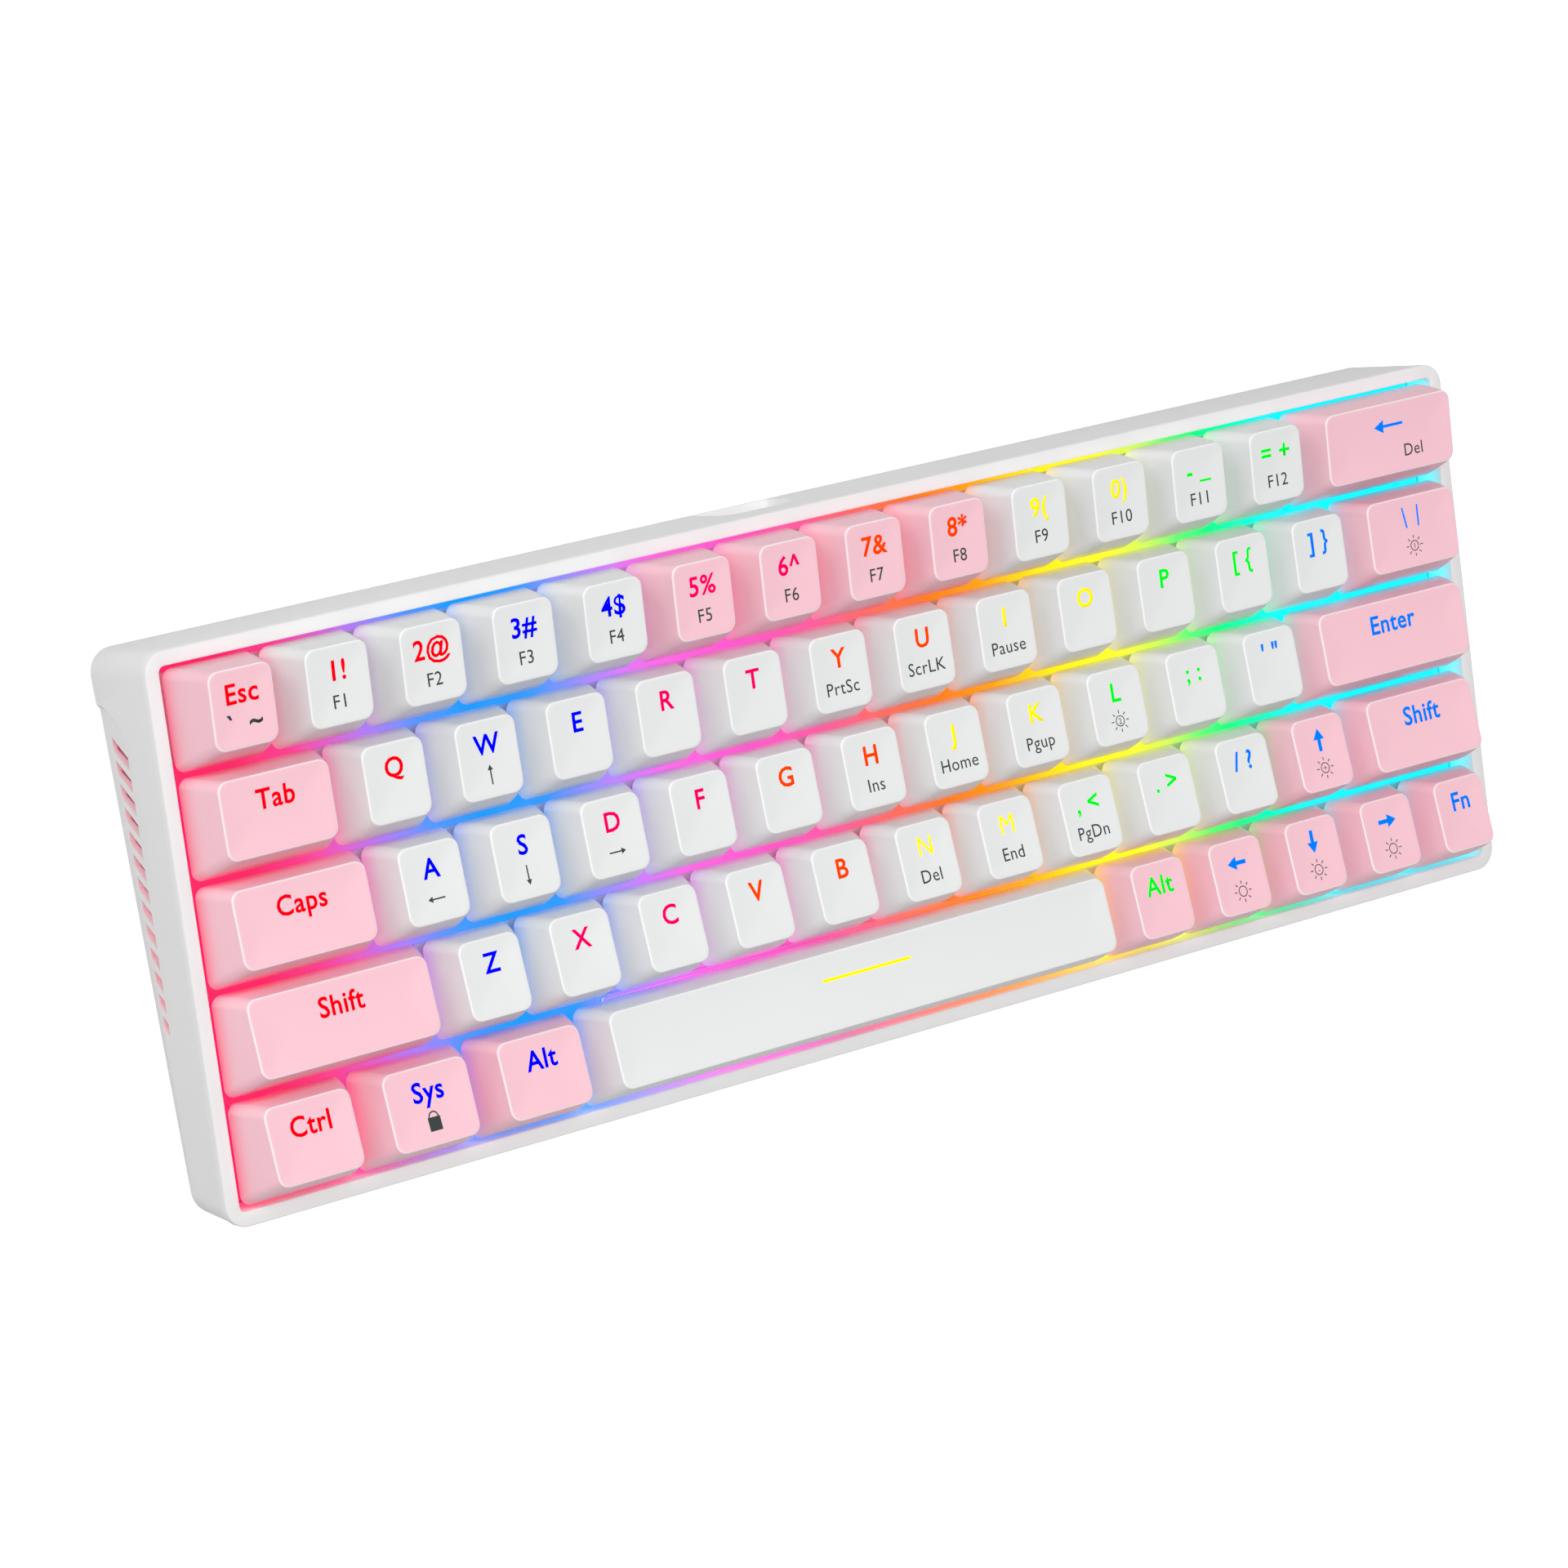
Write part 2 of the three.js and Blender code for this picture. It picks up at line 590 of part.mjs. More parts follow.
for (const { name, length, y } of stripPlaces) {
  const strip = boxSolid([-length / 2, -stripDepth / 2, 0],
    [length / 2, stripDepth / 2, deskBelly + stripSink - gap]);
  addPiece(keyboard, name, strip, finishes.rubber, [0, y, 0]);
}

for (const [name, side] of [["foot_left", -1], ["foot_right", 1]]) {
  addPiece(keyboard, name, footSolid(), finishes.white, [side * footAlong, footAxisY, footAxisZ]);
}

// The origin is on the desk under the middle of the case
const extent = new THREE.Box3().setFromObject(keyboard, true);
const middle = extent.getCenter(new THREE.Vector3());
keyboard.position.set(-middle.x, -middle.y, -extent.min.z);
keyboard.updateMatrixWorld(true);

export default keyboard;
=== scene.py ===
"""A compact mechanical keyboard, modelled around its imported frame.

Lengths are in metres. Pieces are shaped in the deck frame, whose z = 0 is the top of the rim
and whose origin is the middle of the opening, and are then set down on the sloping deck.
"""

import json
import math

import bmesh
import bpy
from mathutils import Matrix, Vector

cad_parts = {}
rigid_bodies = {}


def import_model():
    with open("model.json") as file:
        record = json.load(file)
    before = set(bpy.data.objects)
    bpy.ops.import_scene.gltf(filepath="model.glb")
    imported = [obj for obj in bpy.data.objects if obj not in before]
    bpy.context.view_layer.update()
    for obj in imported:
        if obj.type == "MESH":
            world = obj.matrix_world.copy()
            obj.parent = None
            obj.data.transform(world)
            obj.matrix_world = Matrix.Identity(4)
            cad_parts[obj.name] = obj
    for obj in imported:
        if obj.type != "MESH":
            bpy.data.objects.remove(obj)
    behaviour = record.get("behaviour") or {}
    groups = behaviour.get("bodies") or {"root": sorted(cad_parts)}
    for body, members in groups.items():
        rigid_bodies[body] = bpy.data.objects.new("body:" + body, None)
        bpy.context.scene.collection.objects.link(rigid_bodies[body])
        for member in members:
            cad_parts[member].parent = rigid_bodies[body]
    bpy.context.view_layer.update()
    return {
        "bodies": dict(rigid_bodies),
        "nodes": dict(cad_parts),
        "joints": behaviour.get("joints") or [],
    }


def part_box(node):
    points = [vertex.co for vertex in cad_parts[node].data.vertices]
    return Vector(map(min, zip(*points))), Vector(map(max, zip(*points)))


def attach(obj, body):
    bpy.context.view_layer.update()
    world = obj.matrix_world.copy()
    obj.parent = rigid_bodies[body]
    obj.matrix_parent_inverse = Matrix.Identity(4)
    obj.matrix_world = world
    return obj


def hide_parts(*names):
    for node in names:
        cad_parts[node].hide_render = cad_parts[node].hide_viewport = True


bl_info = {
    "name": "Mechanical Keyboard",
    "version": (1, 0, 0),
    "blender": (4, 5, 0),
    "location": "View3D > Sidebar > Keyboard",
    "description": "Keycaps, switches, case and lit plate of a compact keyboard",
    "category": "Add Mesh",
}

MM = 0.001

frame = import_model()


def extent(points):
    """The lowest and the highest corner of some points."""
    points = list(points)
    return tuple(Vector([pick(p[i] for p in points) for i in range(3)]) for pick in (min, max))


def deck_place():
    """The deck frame's place: the slope of the keys' travel and the middle of the rim's top."""
    travel = next(joint["axis"] for joint in frame["joints"] if joint["type"] == "slide")
    slope = Matrix.Rotation(math.atan2(travel[1], -travel[2]), 4, "X")
    rim = frame["nodes"]["top_frame"].data.vertices
    low, high = extent(slope.inverted() @ v.co for v in rim)
    return slope @ Matrix.Translation(((low.x + high.x) / 2, (low.y + high.y) / 2, high.z))


DECK = deck_place()
TO_DECK = DECK.inverted()


def deck_box(node):
    """A CAD node's lowest and highest corner in the deck frame."""
    return extent(TO_DECK @ v.co for v in frame["nodes"][node].data.vertices)


# ------------------------------------------------------------------ what the object is made of
def tone(hexcode):
    """Scene-linear colour from a hexadecimal paint code."""
    parts = [int(hexcode[i:i + 2], 16) / 255 for i in (0, 2, 4)]
    return tuple(c / 12.92 if c <= 0.04045 else ((c + 0.055) / 1.055) ** 2.4 for c in parts)


# Key rows, rear to front: name, width in key units, cap, paint, upper legend, lower legend.
# A legend that starts with @ is a drawn symbol.
KEY_ROWS = (
    (("esc", 1, "pink", "red", "Esc", "`  ~"), ("1", 1, "white", "red", "1!", "F1"),
     ("2", 1, "white", "red", "2@", "F2"), ("3", 1, "white", "blue", "3#", "F3"),
     ("4", 1, "white", "blue", "4$", "F4"), ("5", 1, "pink", "crimson", "5%", "F5"),
     ("6", 1, "pink", "crimson", "6^", "F6"), ("7", 1, "pink", "orange", "7&", "F7"),
     ("8", 1, "pink", "orange", "8*", "F8"), ("9", 1, "white", "yellow", "9(", "F9"),
     ("0", 1, "white", "yellow", "0)", "F10"), ("minus", 1, "white", "green", "- _", "F11"),
     ("equals", 1, "white", "green", "= +", "F12"),
     ("backspace", 2, "pink", "azure", "@long_left", "Del")),
    (("tab", 1.5, "pink", "red", "Tab", ""), ("q", 1, "white", "red", "Q", ""),
     ("w", 1, "white", "blue", "W", "@line_up"), ("e", 1, "white", "blue", "E", ""),
     ("r", 1, "white", "crimson", "R", ""), ("t", 1, "white", "crimson", "T", ""),
     ("y", 1, "white", "orange", "Y", "PrtSc"), ("u", 1, "white", "orange", "U", "ScrLK"),
     ("i", 1, "white", "yellow", "I", "Pause"), ("o", 1, "white", "yellow", "O", ""),
     ("p", 1, "white", "green", "P", ""), ("bracket_left", 1, "white", "green", "[ {", ""),
     ("bracket_right", 1, "white", "azure", "] }", ""),
     ("backslash", 1.5, "pink", "azure", "@bars", "@sun_1")),
    (("caps", 1.75, "pink", "red", "Caps", ""), ("a", 1, "white", "blue", "A", "@line_left"),
     ("s", 1, "white", "blue", "S", "@line_down"),
     ("d", 1, "white", "crimson", "D", "@line_right"), ("f", 1, "white", "crimson", "F", ""),
     ("g", 1, "white", "orange", "G", ""), ("h", 1, "white", "orange", "H", "Ins"),
     ("j", 1, "white", "yellow", "J", "Home"), ("k", 1, "white", "yellow", "K", "Pgup"),
     ("l", 1, "white", "green", "L", "@sun_2"), ("semicolon", 1, "white", "green", "; :", ""),
     ("quote", 1, "white", "azure", "' \"", ""), ("enter", 2.25, "pink", "azure", "Enter", "")),
    (("shift_left", 2.25, "pink", "red", "Shift", ""), ("z", 1, "white", "blue", "Z", ""),
     ("x", 1, "white", "crimson", "X", ""), ("c", 1, "white", "crimson", "C", ""),
     ("v", 1, "white", "orange", "V", ""), ("b", 1, "white", "orange", "B", ""),
     ("n", 1, "white", "yellow", "N", "Del"), ("m", 1, "white", "yellow", "M", "End"),
     ("comma", 1, "white", "green", ", <", "PgDn"), ("period", 1, "white", "green", ". >", ""),
     ("slash", 1, "white", "azure", "/ ?", ""), ("up", 1, "pink", "azure", "@arrow_up", "@sun_+"),
     ("shift_right", 1.75, "pink", "azure", "Shift", "")),
    (("ctrl", 1.25, "pink", "red", "Ctrl", ""), ("system", 1.25, "pink", "blue", "Sys", "@lock"),
     ("alt_left", 1.25, "pink", "blue", "Alt", ""),
     ("space", 6.25, "white", "yellow", "@dash", ""),
     ("alt_right", 1, "pink", "green", "Alt", ""),
     ("left", 1, "pink", "azure", "@arrow_left", "@sun_"),
     ("down", 1, "pink", "azure", "@arrow_down", "@sun_-"),
     ("right", 1, "pink", "azure", "@arrow_right", "@sun_"),
     ("fn", 1, "pink", "azure", "Fn", "")),
)
# Stabilised keys: how far each stem stands from the key's middle
STEM_SPANS = {"backspace": 11.9, "enter": 11.9, "shift_left": 11.9, "space": 50}
# Height of the cap's top over its skirt at the rear and the front edge, row by row
ROW_PROFILES = ((10.6, 10.1), (8.3, 8.8), (7.3, 8.9), (6.9, 9.4), (7.2, 9.8))
# The hollow in a cap's top, ring by ring: each ring's width in mm and its share of the depth
DISH_RINGS = ((0.35, 0.04), (1.3, 0.42), (1.5, 0.72), (1.5, 0.92), (1.0, 1.0))

PAINTS = {
    "red": "ff0010", "blue": "0000ff", "crimson": "ff005e", "orange": "ff3c00",
    "yellow": "ffee00", "green": "00ff1e", "azure": "0074ff", "dark": "3f4a46",
}
# The colours of the plate's lamps from left to right, in millimetres along the deck: painted on
# the plate and near it as light, and given to the glow sheet
PLATE_LIGHTS = (
    (-128, "f01c5f"), (-117, "ee3688"), (-109, "d656bc"), (-101, "a574ea"), (-91, "4d8dfe"),
    (-80, "0094ff"), (-66, "2892fd"), (-55, "9b83ff"), (-39, "f261da"), (-20, "ff4fbe"),
    (-3, "fe578e"), (7, "ff645e"), (21, "ff7208"), (34, "ff9a00"), (49, "ffe605"),
    (64, "fafc22"), (74, "cdfe55"), (82, "5aff73"), (89, "00ff80"), (98, "00ffc3"),
    (106, "00f0ff"),
)
LETTER_CAPITAL = 0.729  # height of a capital in the plain letters, per unit of their size
LETTER_SQUEEZE = 0.97  # the legends are a little narrow
LETTER_WEIGHT = 0.024  # how far the upper legends' outlines grow, per unit of their height
THIN_LETTERS = ("M", "N")  # their strokes would run into each other
SIGN_WEIGHT, SIGN_SCALE = 0.03, 1.35  # the two small signs on the first key are drawn larger
BACKSPACE_LEGEND_X = 5.8 * MM  # its lower legend stands right of the middle
# Drawn arrows: length, shaft thickness, head length, head width and height of the middle, in mm
ARROWS = {
    "arrow": (4.4, 0.8, 2.1, 2.6, 1.7), "long": (7.2, 0.55, 2.3, 2.6, 1.7),
    "line": (3.5, 0.26, 0.95, 1.1, 1.2),
}
ARROW_TURNS = {"left": 0, "down": 90, "right": 180, "up": 270}


def length(name, default, description):
    """A length property, given in millimetres."""
    return bpy.props.FloatProperty(name=name, default=default * MM, description=description,
                                   unit="LENGTH", subtype="DISTANCE", precision=5)


def colour(name, hexcode, description):
    """A colour property."""
    return bpy.props.FloatVectorProperty(name=name, default=tone(hexcode), size=3, min=0, max=1,
                                         subtype="COLOR", description=description)


class KeyboardCapSizes(bpy.types.PropertyGroup):
    """Sizes of the keycaps and their legends."""

    pitch: length("Key pitch", 19.05, "Distance between the middles of two neighbouring keys")
    gap: length("Cap gap", 0.95, "Free space between the skirts of two neighbouring caps")
    skirt: length("Skirt depth", 1.2, "Skirt's lower edge under the rim")
    side_inset: length("Side inset", 2.85, "How far the top stands in from the skirt, each side")
    front_inset: length("Front inset", 3.65, "The same at the front")
    rear_inset: length("Rear inset", 0.65, "The same at the rear")
    corner: length("Corner radius", 1.9, "Radius of the cap's rising edges")
    edge: length("Top edge radius", 0.22, "Radius of the edge round the top")
    bulge: length("Side bulge", 0.12, "How far the sides stand out at half height")
    dish: length("Dish depth", 0.34, "Depth of the hollow in the top")
    wall: length("Wall", 1.4, "Thickness of the cap")
    slider_reach: length("Slider reach", 6, "Slider's lower end under the skirt")
    upper_height: length("Upper legend height", 3.65, "Height of the upper legend's capitals")
    upper_base: length("Upper legend base", 2.3, "Upper legend's foot from the key's middle")
    lower_height: length("Lower legend height", 2.5, "Height of the lower legend's capitals")
    lower_base: length("Lower legend base", -2.6, "Lower legend's foot from the key's middle")
    paint: length("Paint thickness", 0.02, "How far a legend stands over the cap")


class KeyboardCaseSizes(bpy.types.PropertyGroup):
    """Sizes of the case, its frame and its details."""

    opening_x: length("Opening half width", 143.375, "Middle to the opening's side")
    opening_y: length("Opening half depth", 47.875, "Middle to the opening's front")
    opening_corner: length("Opening radius", 1.2, "Radius of the opening's corners")
    rim: length("Rim width", 2.7, "Width of the frame round the keys")
    corner: length("Corner radius", 4.1, "Radius of the case's upright edges")
    rim_edge: length("Rim edge", 0.3, "Rounding of the rim's outer edge")
    lip: length("Lip depth", 1.9, "Outer edge of the top frame")
    seam: length("Seam", 0.03, "Gap between the top frame and the case")
    plate: length("Plate depth", 7.2, "Lit plate's upper face under the rim")
    board: length("Board depth", 12.2, "Circuit board's upper face under the rim")
    board_thickness: length("Board thickness", 1.6, "Thickness of the circuit board")
    wall_depth: length("Wall depth", 17.05, "Side walls' lower edge under the rim, at the middle")
    foot_inset: length("Foot inset", 0.668, "How far the walls lean in at their lower edge")
    belly_drop: length("Belly drop", 5, "Underside below the walls' lower edge")
    belly_run: length("Belly run", 6, "Width of the bevel between them")
    wall: length("Case wall", 1.6, "Thickness of the walls")
    floor: length("Case floor", 2, "Thickness of the floor")
    slot_pitch: length("Slot pitch", 3.9, "Distance between two slots in the side walls")
    slot_top: length("Slot top", 11.7, "Slots' upper end under the rim")
    slot_width: length("Slot width", 2.45, "Width of a slot along the wall")
    slot_end: length("Slot end", 1.8, "Slots' lower end over the wall's lower edge")
    recess: length("Side recess", 0.78, "How far the side panels stand in at their lower edge")
    notch_middle: length("Notch middle", -10.5, "Socket's place along the rear wall")
    notch_width: length("Notch width", 17, "Width of the notch round the socket")
    notch_top: length("Notch top", 8.5, "Notch's upper end under the rim")
    notch_ledge: length("Notch ledge", 20.3, "Ledge under the socket, under the rim")
    notch_depth: length("Notch depth", 2.4, "How far the notch is let in")
    slope: bpy.props.FloatProperty(name="Deck slope", default=0.085, description="Rise per length")
    slots: bpy.props.IntProperty(name="Slots", default=13, description="Slots in each side wall")


class KeyboardFinish(bpy.types.PropertyGroup):
    """Colours and light."""

    cap_white: colour("White caps", "eeefef", "Colour of the white keycaps")
    cap_pink: colour("Pink caps", "ffccd8", "Colour of the pink keycaps")
    case: colour("Case", "f7f7f7", "Colour of the lower case")
    frame: colour("Frame", "eeeded", "Colour of the frame round the keys")
    switch: colour("Switches", "ececee", "Colour of the switch housings")
    slider: colour("Sliders", "e9dfe2", "Colour of the switch sliders")
    board: colour("Board", "e6e7e6", "Colour of the circuit board")
    rubber: colour("Rubber", "2c2c2e", "Colour of the rubber strips")
    steel: colour("Steel", "c4c6ca", "Colour of the wires and the socket")
    glow: bpy.props.FloatProperty(name="Glow", default=1.3, min=0,
                                  description="Light that the plate throws on the keys")
    # Strength of the plate's light painted on the caps' lower sides as emission
    painted_skirt_glow: bpy.props.FloatProperty(name="Skirt glow", default=0.24, min=0,
                                        description="Light held in the caps' lower edges")


class KeyboardStage(bpy.types.PropertyGroup):
    """Camera, floor and lights."""

    camera: bpy.props.FloatVectorProperty(name="Camera", default=(-0.61736, 0.11863, 0.91971),
                                          subtype="TRANSLATION", description="Camera's place")
    aim: bpy.props.FloatVectorProperty(name="Aim", default=(-0.01795, 0.00038, 0.02),
                                       subtype="TRANSLATION", description="Point looked at")
    roll: bpy.props.FloatProperty(name="Roll", default=math.radians(88.97), subtype="ANGLE",
                                  description="Camera's turn about its own axis")
    lens: bpy.props.FloatProperty(name="Lens", default=137.05, description="Focal length in mm")
    floor: bpy.props.FloatProperty(name="Floor", default=6, unit="LENGTH",
                                   description="Side of the floor")
    sky: bpy.props.FloatProperty(name="Sky", default=0.32, min=0, description="Light all round")
    key: bpy.props.FloatProperty(name="Key light", default=23, min=0, unit="POWER",
                                 description="Power of the large lamp on the left")
    fill: bpy.props.FloatProperty(name="Fill light", default=5, min=0, unit="POWER",
                                  description="Power of the lamp behind")


# ------------------------------------------------------------------ node groups
def feed(tree, node, inputs):
    """Fills a node's inputs, each with a value or with a link from a socket."""
    for label, value in inputs.items():
        if isinstance(value, bpy.types.NodeSocket):
            tree.links.new(value, node.inputs[label])
        else:
            node.inputs[label].default_value = value


def add_node(tree, kind, inputs=None, **settings):
    """A new shader node with these settings and inputs."""
    node = tree.nodes.new(f"ShaderNode{kind}")
    for label, value in settings.items():
        setattr(node, label, value)
    feed(tree, node, inputs or {})
    return node


def math_node(tree, operation, first, second, clamp=False):
    """A Math node; each operand is a socket or a number. Returns its output."""
    node = add_node(tree, "Math", {0: first, 1: second}, operation=operation, use_clamp=clamp)
    return node.outputs[0]


def scaled(tree, shade, factor):
    """A colour times a number."""
    return add_node(tree, "VectorMath", {0: shade, "Scale": factor}, operation="SCALE").outputs[0]


def new_group(name, inputs, outputs):
    """An empty shader group with the named sockets, its entry's outputs and its end node."""
    group = bpy.data.node_groups.new(name, "ShaderNodeTree")
    for label, kind, value in inputs:
        socket = group.interface.new_socket(label, in_out="INPUT", socket_type=kind)
        if value is not None:
            socket.default_value = value
    for label, kind in outputs:
        group.interface.new_socket(label, in_out="OUTPUT", socket_type=kind)
    entry = group.nodes.new("NodeGroupInput").outputs
    return group, entry, group.nodes.new("NodeGroupOutput")


def grain_group():
    """Fine moulded grain: a height, a change of roughness and a soft change of tone."""
    group, entry, end = new_group(
        "moulded_grain",
        [("Vector", "NodeSocketVector", None), ("Scale", "NodeSocketFloat", 2600.0),
         ("Roughness", "NodeSocketFloat", 0.45), ("Spread", "NodeSocketFloat", 0.08),
         ("Color", "NodeSocketColor", (0.8, 0.8, 0.8, 1.0)), ("Tone", "NodeSocketFloat", 0.02)],
        [("Height", "NodeSocketFloat"), ("Roughness", "NodeSocketFloat"),
         ("Color", "NodeSocketColor")])
    fine, broad = (
        add_node(group, "TexNoise", {"Vector": entry["Vector"], "Scale": scale,
                                     "Detail": detail}).outputs["Fac"]
        for scale, detail in ((entry["Scale"], 2), (45, 3)))
    centred = math_node(group, "SUBTRACT", math_node(group, "ADD", fine, broad), 1.0)
    change = math_node(group, "MULTIPLY", centred, entry["Spread"])
    drift = math_node(group, "MULTIPLY", math_node(group, "SUBTRACT", broad, 0.5), entry["Tone"])
    feed(group, end, {
        "Height": fine,
        "Roughness": math_node(group, "ADD", entry["Roughness"], change, clamp=True),
        "Color": scaled(group, entry["Color"], math_node(group, "ADD", drift, 1.0))})
    return group


def plate_light_group():
    """The colour of the plate's lamps at a place along the deck, faded with height over it."""
    group, entry, end = new_group(
        "plate_light",
        [("Vector", "NodeSocketVector", None), ("Low", "NodeSocketFloat", -7.2 * MM),
         ("High", "NodeSocketFloat", 0.0), ("Power", "NodeSocketFloat", 2.0),
         ("Strength", "NodeSocketFloat", 1.0)],
        [("Color", "NodeSocketColor"), ("Faded", "NodeSocketColor")])
    deck = add_node(group, "Mapping", {"Vector": entry["Vector"],
                                       "Location": TO_DECK.to_translation(),
                                       "Rotation": TO_DECK.to_euler()}, vector_type="POINT")
    place = add_node(group, "SeparateXYZ", {0: deck.outputs["Vector"]}).outputs
    first, last = PLATE_LIGHTS[0][0] * MM, PLATE_LIGHTS[-1][0] * MM
    along = add_node(group, "MapRange", {"Value": place["X"], "From Min": first,
                                         "From Max": last})
    ramp = add_node(group, "ValToRGB", {"Fac": along.outputs["Result"]})
    stops = ramp.color_ramp.elements
    while len(stops) > 1:
        stops.remove(stops[-1])
    for index, (millimetres, hexcode) in enumerate(PLATE_LIGHTS):
        position = (millimetres * MM - first) / (last - first)
        stop = stops.new(position) if index else stops[0]
        stop.position = position
        stop.color = (*tone(hexcode), 1)
    # The faded colour is the plate's light as painted on faces near the plate
    fade = add_node(group, "MapRange", {"Value": place["Z"], "From Min": entry["Low"],
                                        "From Max": entry["High"], "To Min": 1, "To Max": 0})
    level = math_node(group, "POWER", fade.outputs["Result"], entry["Power"])
    level = math_node(group, "MULTIPLY", level, entry["Strength"])
    shade = ramp.outputs["Color"]
    feed(group, end, {"Color": shade, "Faded": scaled(group, shade, level)})
    return group


def group_node(tree, name, make, inputs):
    """A node for the named group, which is made the first time it is asked for."""
    return add_node(tree, "Group", inputs, node_tree=bpy.data.node_groups.get(name) or make())


def new_material(name):
    """A new material, its node tree and its shader."""
    material = bpy.data.materials.new(name)
    material.use_nodes = True
    return material, material.node_tree, material.node_tree.nodes["Principled BSDF"]


# ------------------------------------------------------------------ materials
def finish(name, base, roughness=0.45, spread=0.08, grain=2600.0, bump=0.05, tone_change=0.03,
           metallic=0.0, shine=0.5, glow=None):
    """A moulded, painted or metal finish. glow is (low, high, power, strength) on the deck: the
    plate's light painted on as emission, fading with height.
    """
    name = f"{name}_finish"
    if name in bpy.data.materials:
        return bpy.data.materials[name]
    material, tree, shader = new_material(name)
    place = add_node(tree, "TexCoord").outputs["Object"]
    surface = group_node(tree, "moulded_grain", grain_group, {
        "Vector": place, "Scale": grain, "Roughness": roughness, "Spread": spread,
        "Color": (*base, 1), "Tone": tone_change}).outputs
    relief = add_node(tree, "Bump", {"Strength": bump, "Distance": 0.1 * MM,
                                     "Height": surface["Height"]})
    feed(tree, shader, {"Metallic": metallic, "Specular IOR Level": shine,
                        "Base Color": surface["Color"], "Roughness": surface["Roughness"],
                        "Normal": relief.outputs["Normal"]})
    if glow:
        # The plate's light painted on as emission
        light = group_node(tree, "plate_light", plate_light_group, {
            "Vector": place, **dict(zip(("Low", "High", "Power", "Strength"), glow))})
        feed(tree, shader, {"Emission Color": light.outputs["Faded"], "Emission Strength": 1})
    return material


def look():
    """The colours chosen in the panel."""
    return bpy.context.scene.keyboard_finish


def case_white():
    return finish("case_white", look().case, roughness=0.5, bump=0.06, tone_change=0.02)


def frame_white():
    return finish("frame_white", look().frame, roughness=0.5, bump=0.06, tone_change=0.02)


def painted_glow_wall():
    # The plate's light painted on the frame's inner walls as emission, fading towards the rim
    return finish("painted_glow_wall", look().case, roughness=0.5, glow=(-7.4 * MM, -0.2 * MM, 1.3, 0.8))


def case_inside_painted_glow():
    # The plate's light painted faintly on the case's inner faces as emission
    return finish("case_inside_painted_glow", look().case, roughness=0.6,
                  glow=(-26 * MM, -8 * MM, 0.5, 0.1))


def cap_body(shade):
    base = look().cap_pink if shade == "pink" else look().cap_white
    # The plate's light is painted on the cap's lower sides as emission, fading upwards
    return finish(f"cap_{shade}", base, roughness=0.42, bump=0.05, tone_change=0.025,
                  glow=(-1.4 * MM, 4.0 * MM, 2.2, look().painted_skirt_glow))


def cap_edge_highlight(shade):
    # Painted highlight: the top edge's bevel takes the cap's colour made much lighter
    base = look().cap_pink if shade == "pink" else look().cap_white
    painted_highlight = [c + (1 - c) * 0.6 for c in base]
    return finish(f"cap_{shade}_edge", painted_highlight, roughness=0.35, bump=0.03, tone_change=0.01)


def paint(name):
    """A legend's paint, with a little painted glow so that it stays clear over the lit keys."""
    base = tone(PAINTS[name])
    material = finish(f"legend_{name}", base, roughness=0.7, bump=0.03, tone_change=0.03,
                      shine=0)
    if name != "dark":
        tree = material.node_tree
        # Painted glow: the paint also gives off its own colour as emission
        feed(tree, tree.nodes["Principled BSDF"], {"Emission Color": (*base, 1),
                                                   "Emission Strength": 0.35})
    return material


def steel():
    return finish("steel", look().steel, roughness=0.28, grain=900.0, bump=0.04, metallic=1.0)


def steel_painted_glow():
    # The plate's light painted on the stabiliser wires as emission, fading upwards
    return finish("steel_painted_glow", look().steel, roughness=0.28, grain=900.0, bump=0.04,
                  metallic=1.0, glow=(-9 * MM, -3 * MM, 0.5, 0.9))


def plate_painted_light():
    """The plate: dark paint with the light of its lamps painted on as emission, in bands of
    colour.
    """
    return finish("plate_painted_light", (0.06, 0.06, 0.06), roughness=0.6, glow=(-1.0, 1.0, 0.0, 1.0))


def component_black():
    return finish("component_black", tone("26272a"), roughness=0.4)


# ------------------------------------------------------------------ modelling helpers
def object_mode():
    if bpy.context.mode != "OBJECT":
        bpy.ops.object.mode_set(mode="OBJECT")


def only(*objects):
    """Selects exactly these objects; the first is the active one."""
    object_mode()
    bpy.ops.object.select_all(action="DESELECT")
    for each in objects:
        each.select_set(True)
    bpy.context.view_layer.objects.active = objects[0]


def edit(piece):
    """Goes into edit mode on one piece with all of it selected."""
    only(piece)
    bpy.ops.object.mode_set(mode="EDIT")
    bpy.ops.mesh.select_all(action="SELECT")


def choose(kind, test):
    """In edit mode, selects exactly the vertices, edges or faces that pass the test.

    Returns the middle of each."""
    bpy.ops.mesh.select_mode(type=kind)
    bpy.ops.mesh.select_all(action="DESELECT")
    mesh = bpy.context.edit_object.data
    shape = bmesh.from_edit_mesh(mesh)
    shape.normal_update()
    parts = {"VERT": shape.verts, "EDGE": shape.edges, "FACE": shape.faces}[kind]
    found = [part for part in parts if test(part)]
    if not found:
        raise RuntimeError(f"nothing to select on {bpy.context.edit_object.name}")
    for part in found:
        part.select_set(True)
    middles = [part.co.copy() if kind == "VERT" else middle(part) for part in found]
    shape.select_flush_mode()
    bmesh.update_edit_mesh(mesh)
    return middles


def middle(part):
    """Middle of an edge or a face."""
    return sum((v.co for v in part.verts), Vector()) / len(part.verts)


def rise(edge):
    """How steeply an edge rises, 0 for level and 1 for upright."""
    first, second = (v.co for v in edge.verts)
    return abs(second.z - first.z) / max((second - first).length, 1e-9)


def upright(edge):
    return rise(edge) > 0.9


def is_level(edge):
    return rise(edge) < 0.1


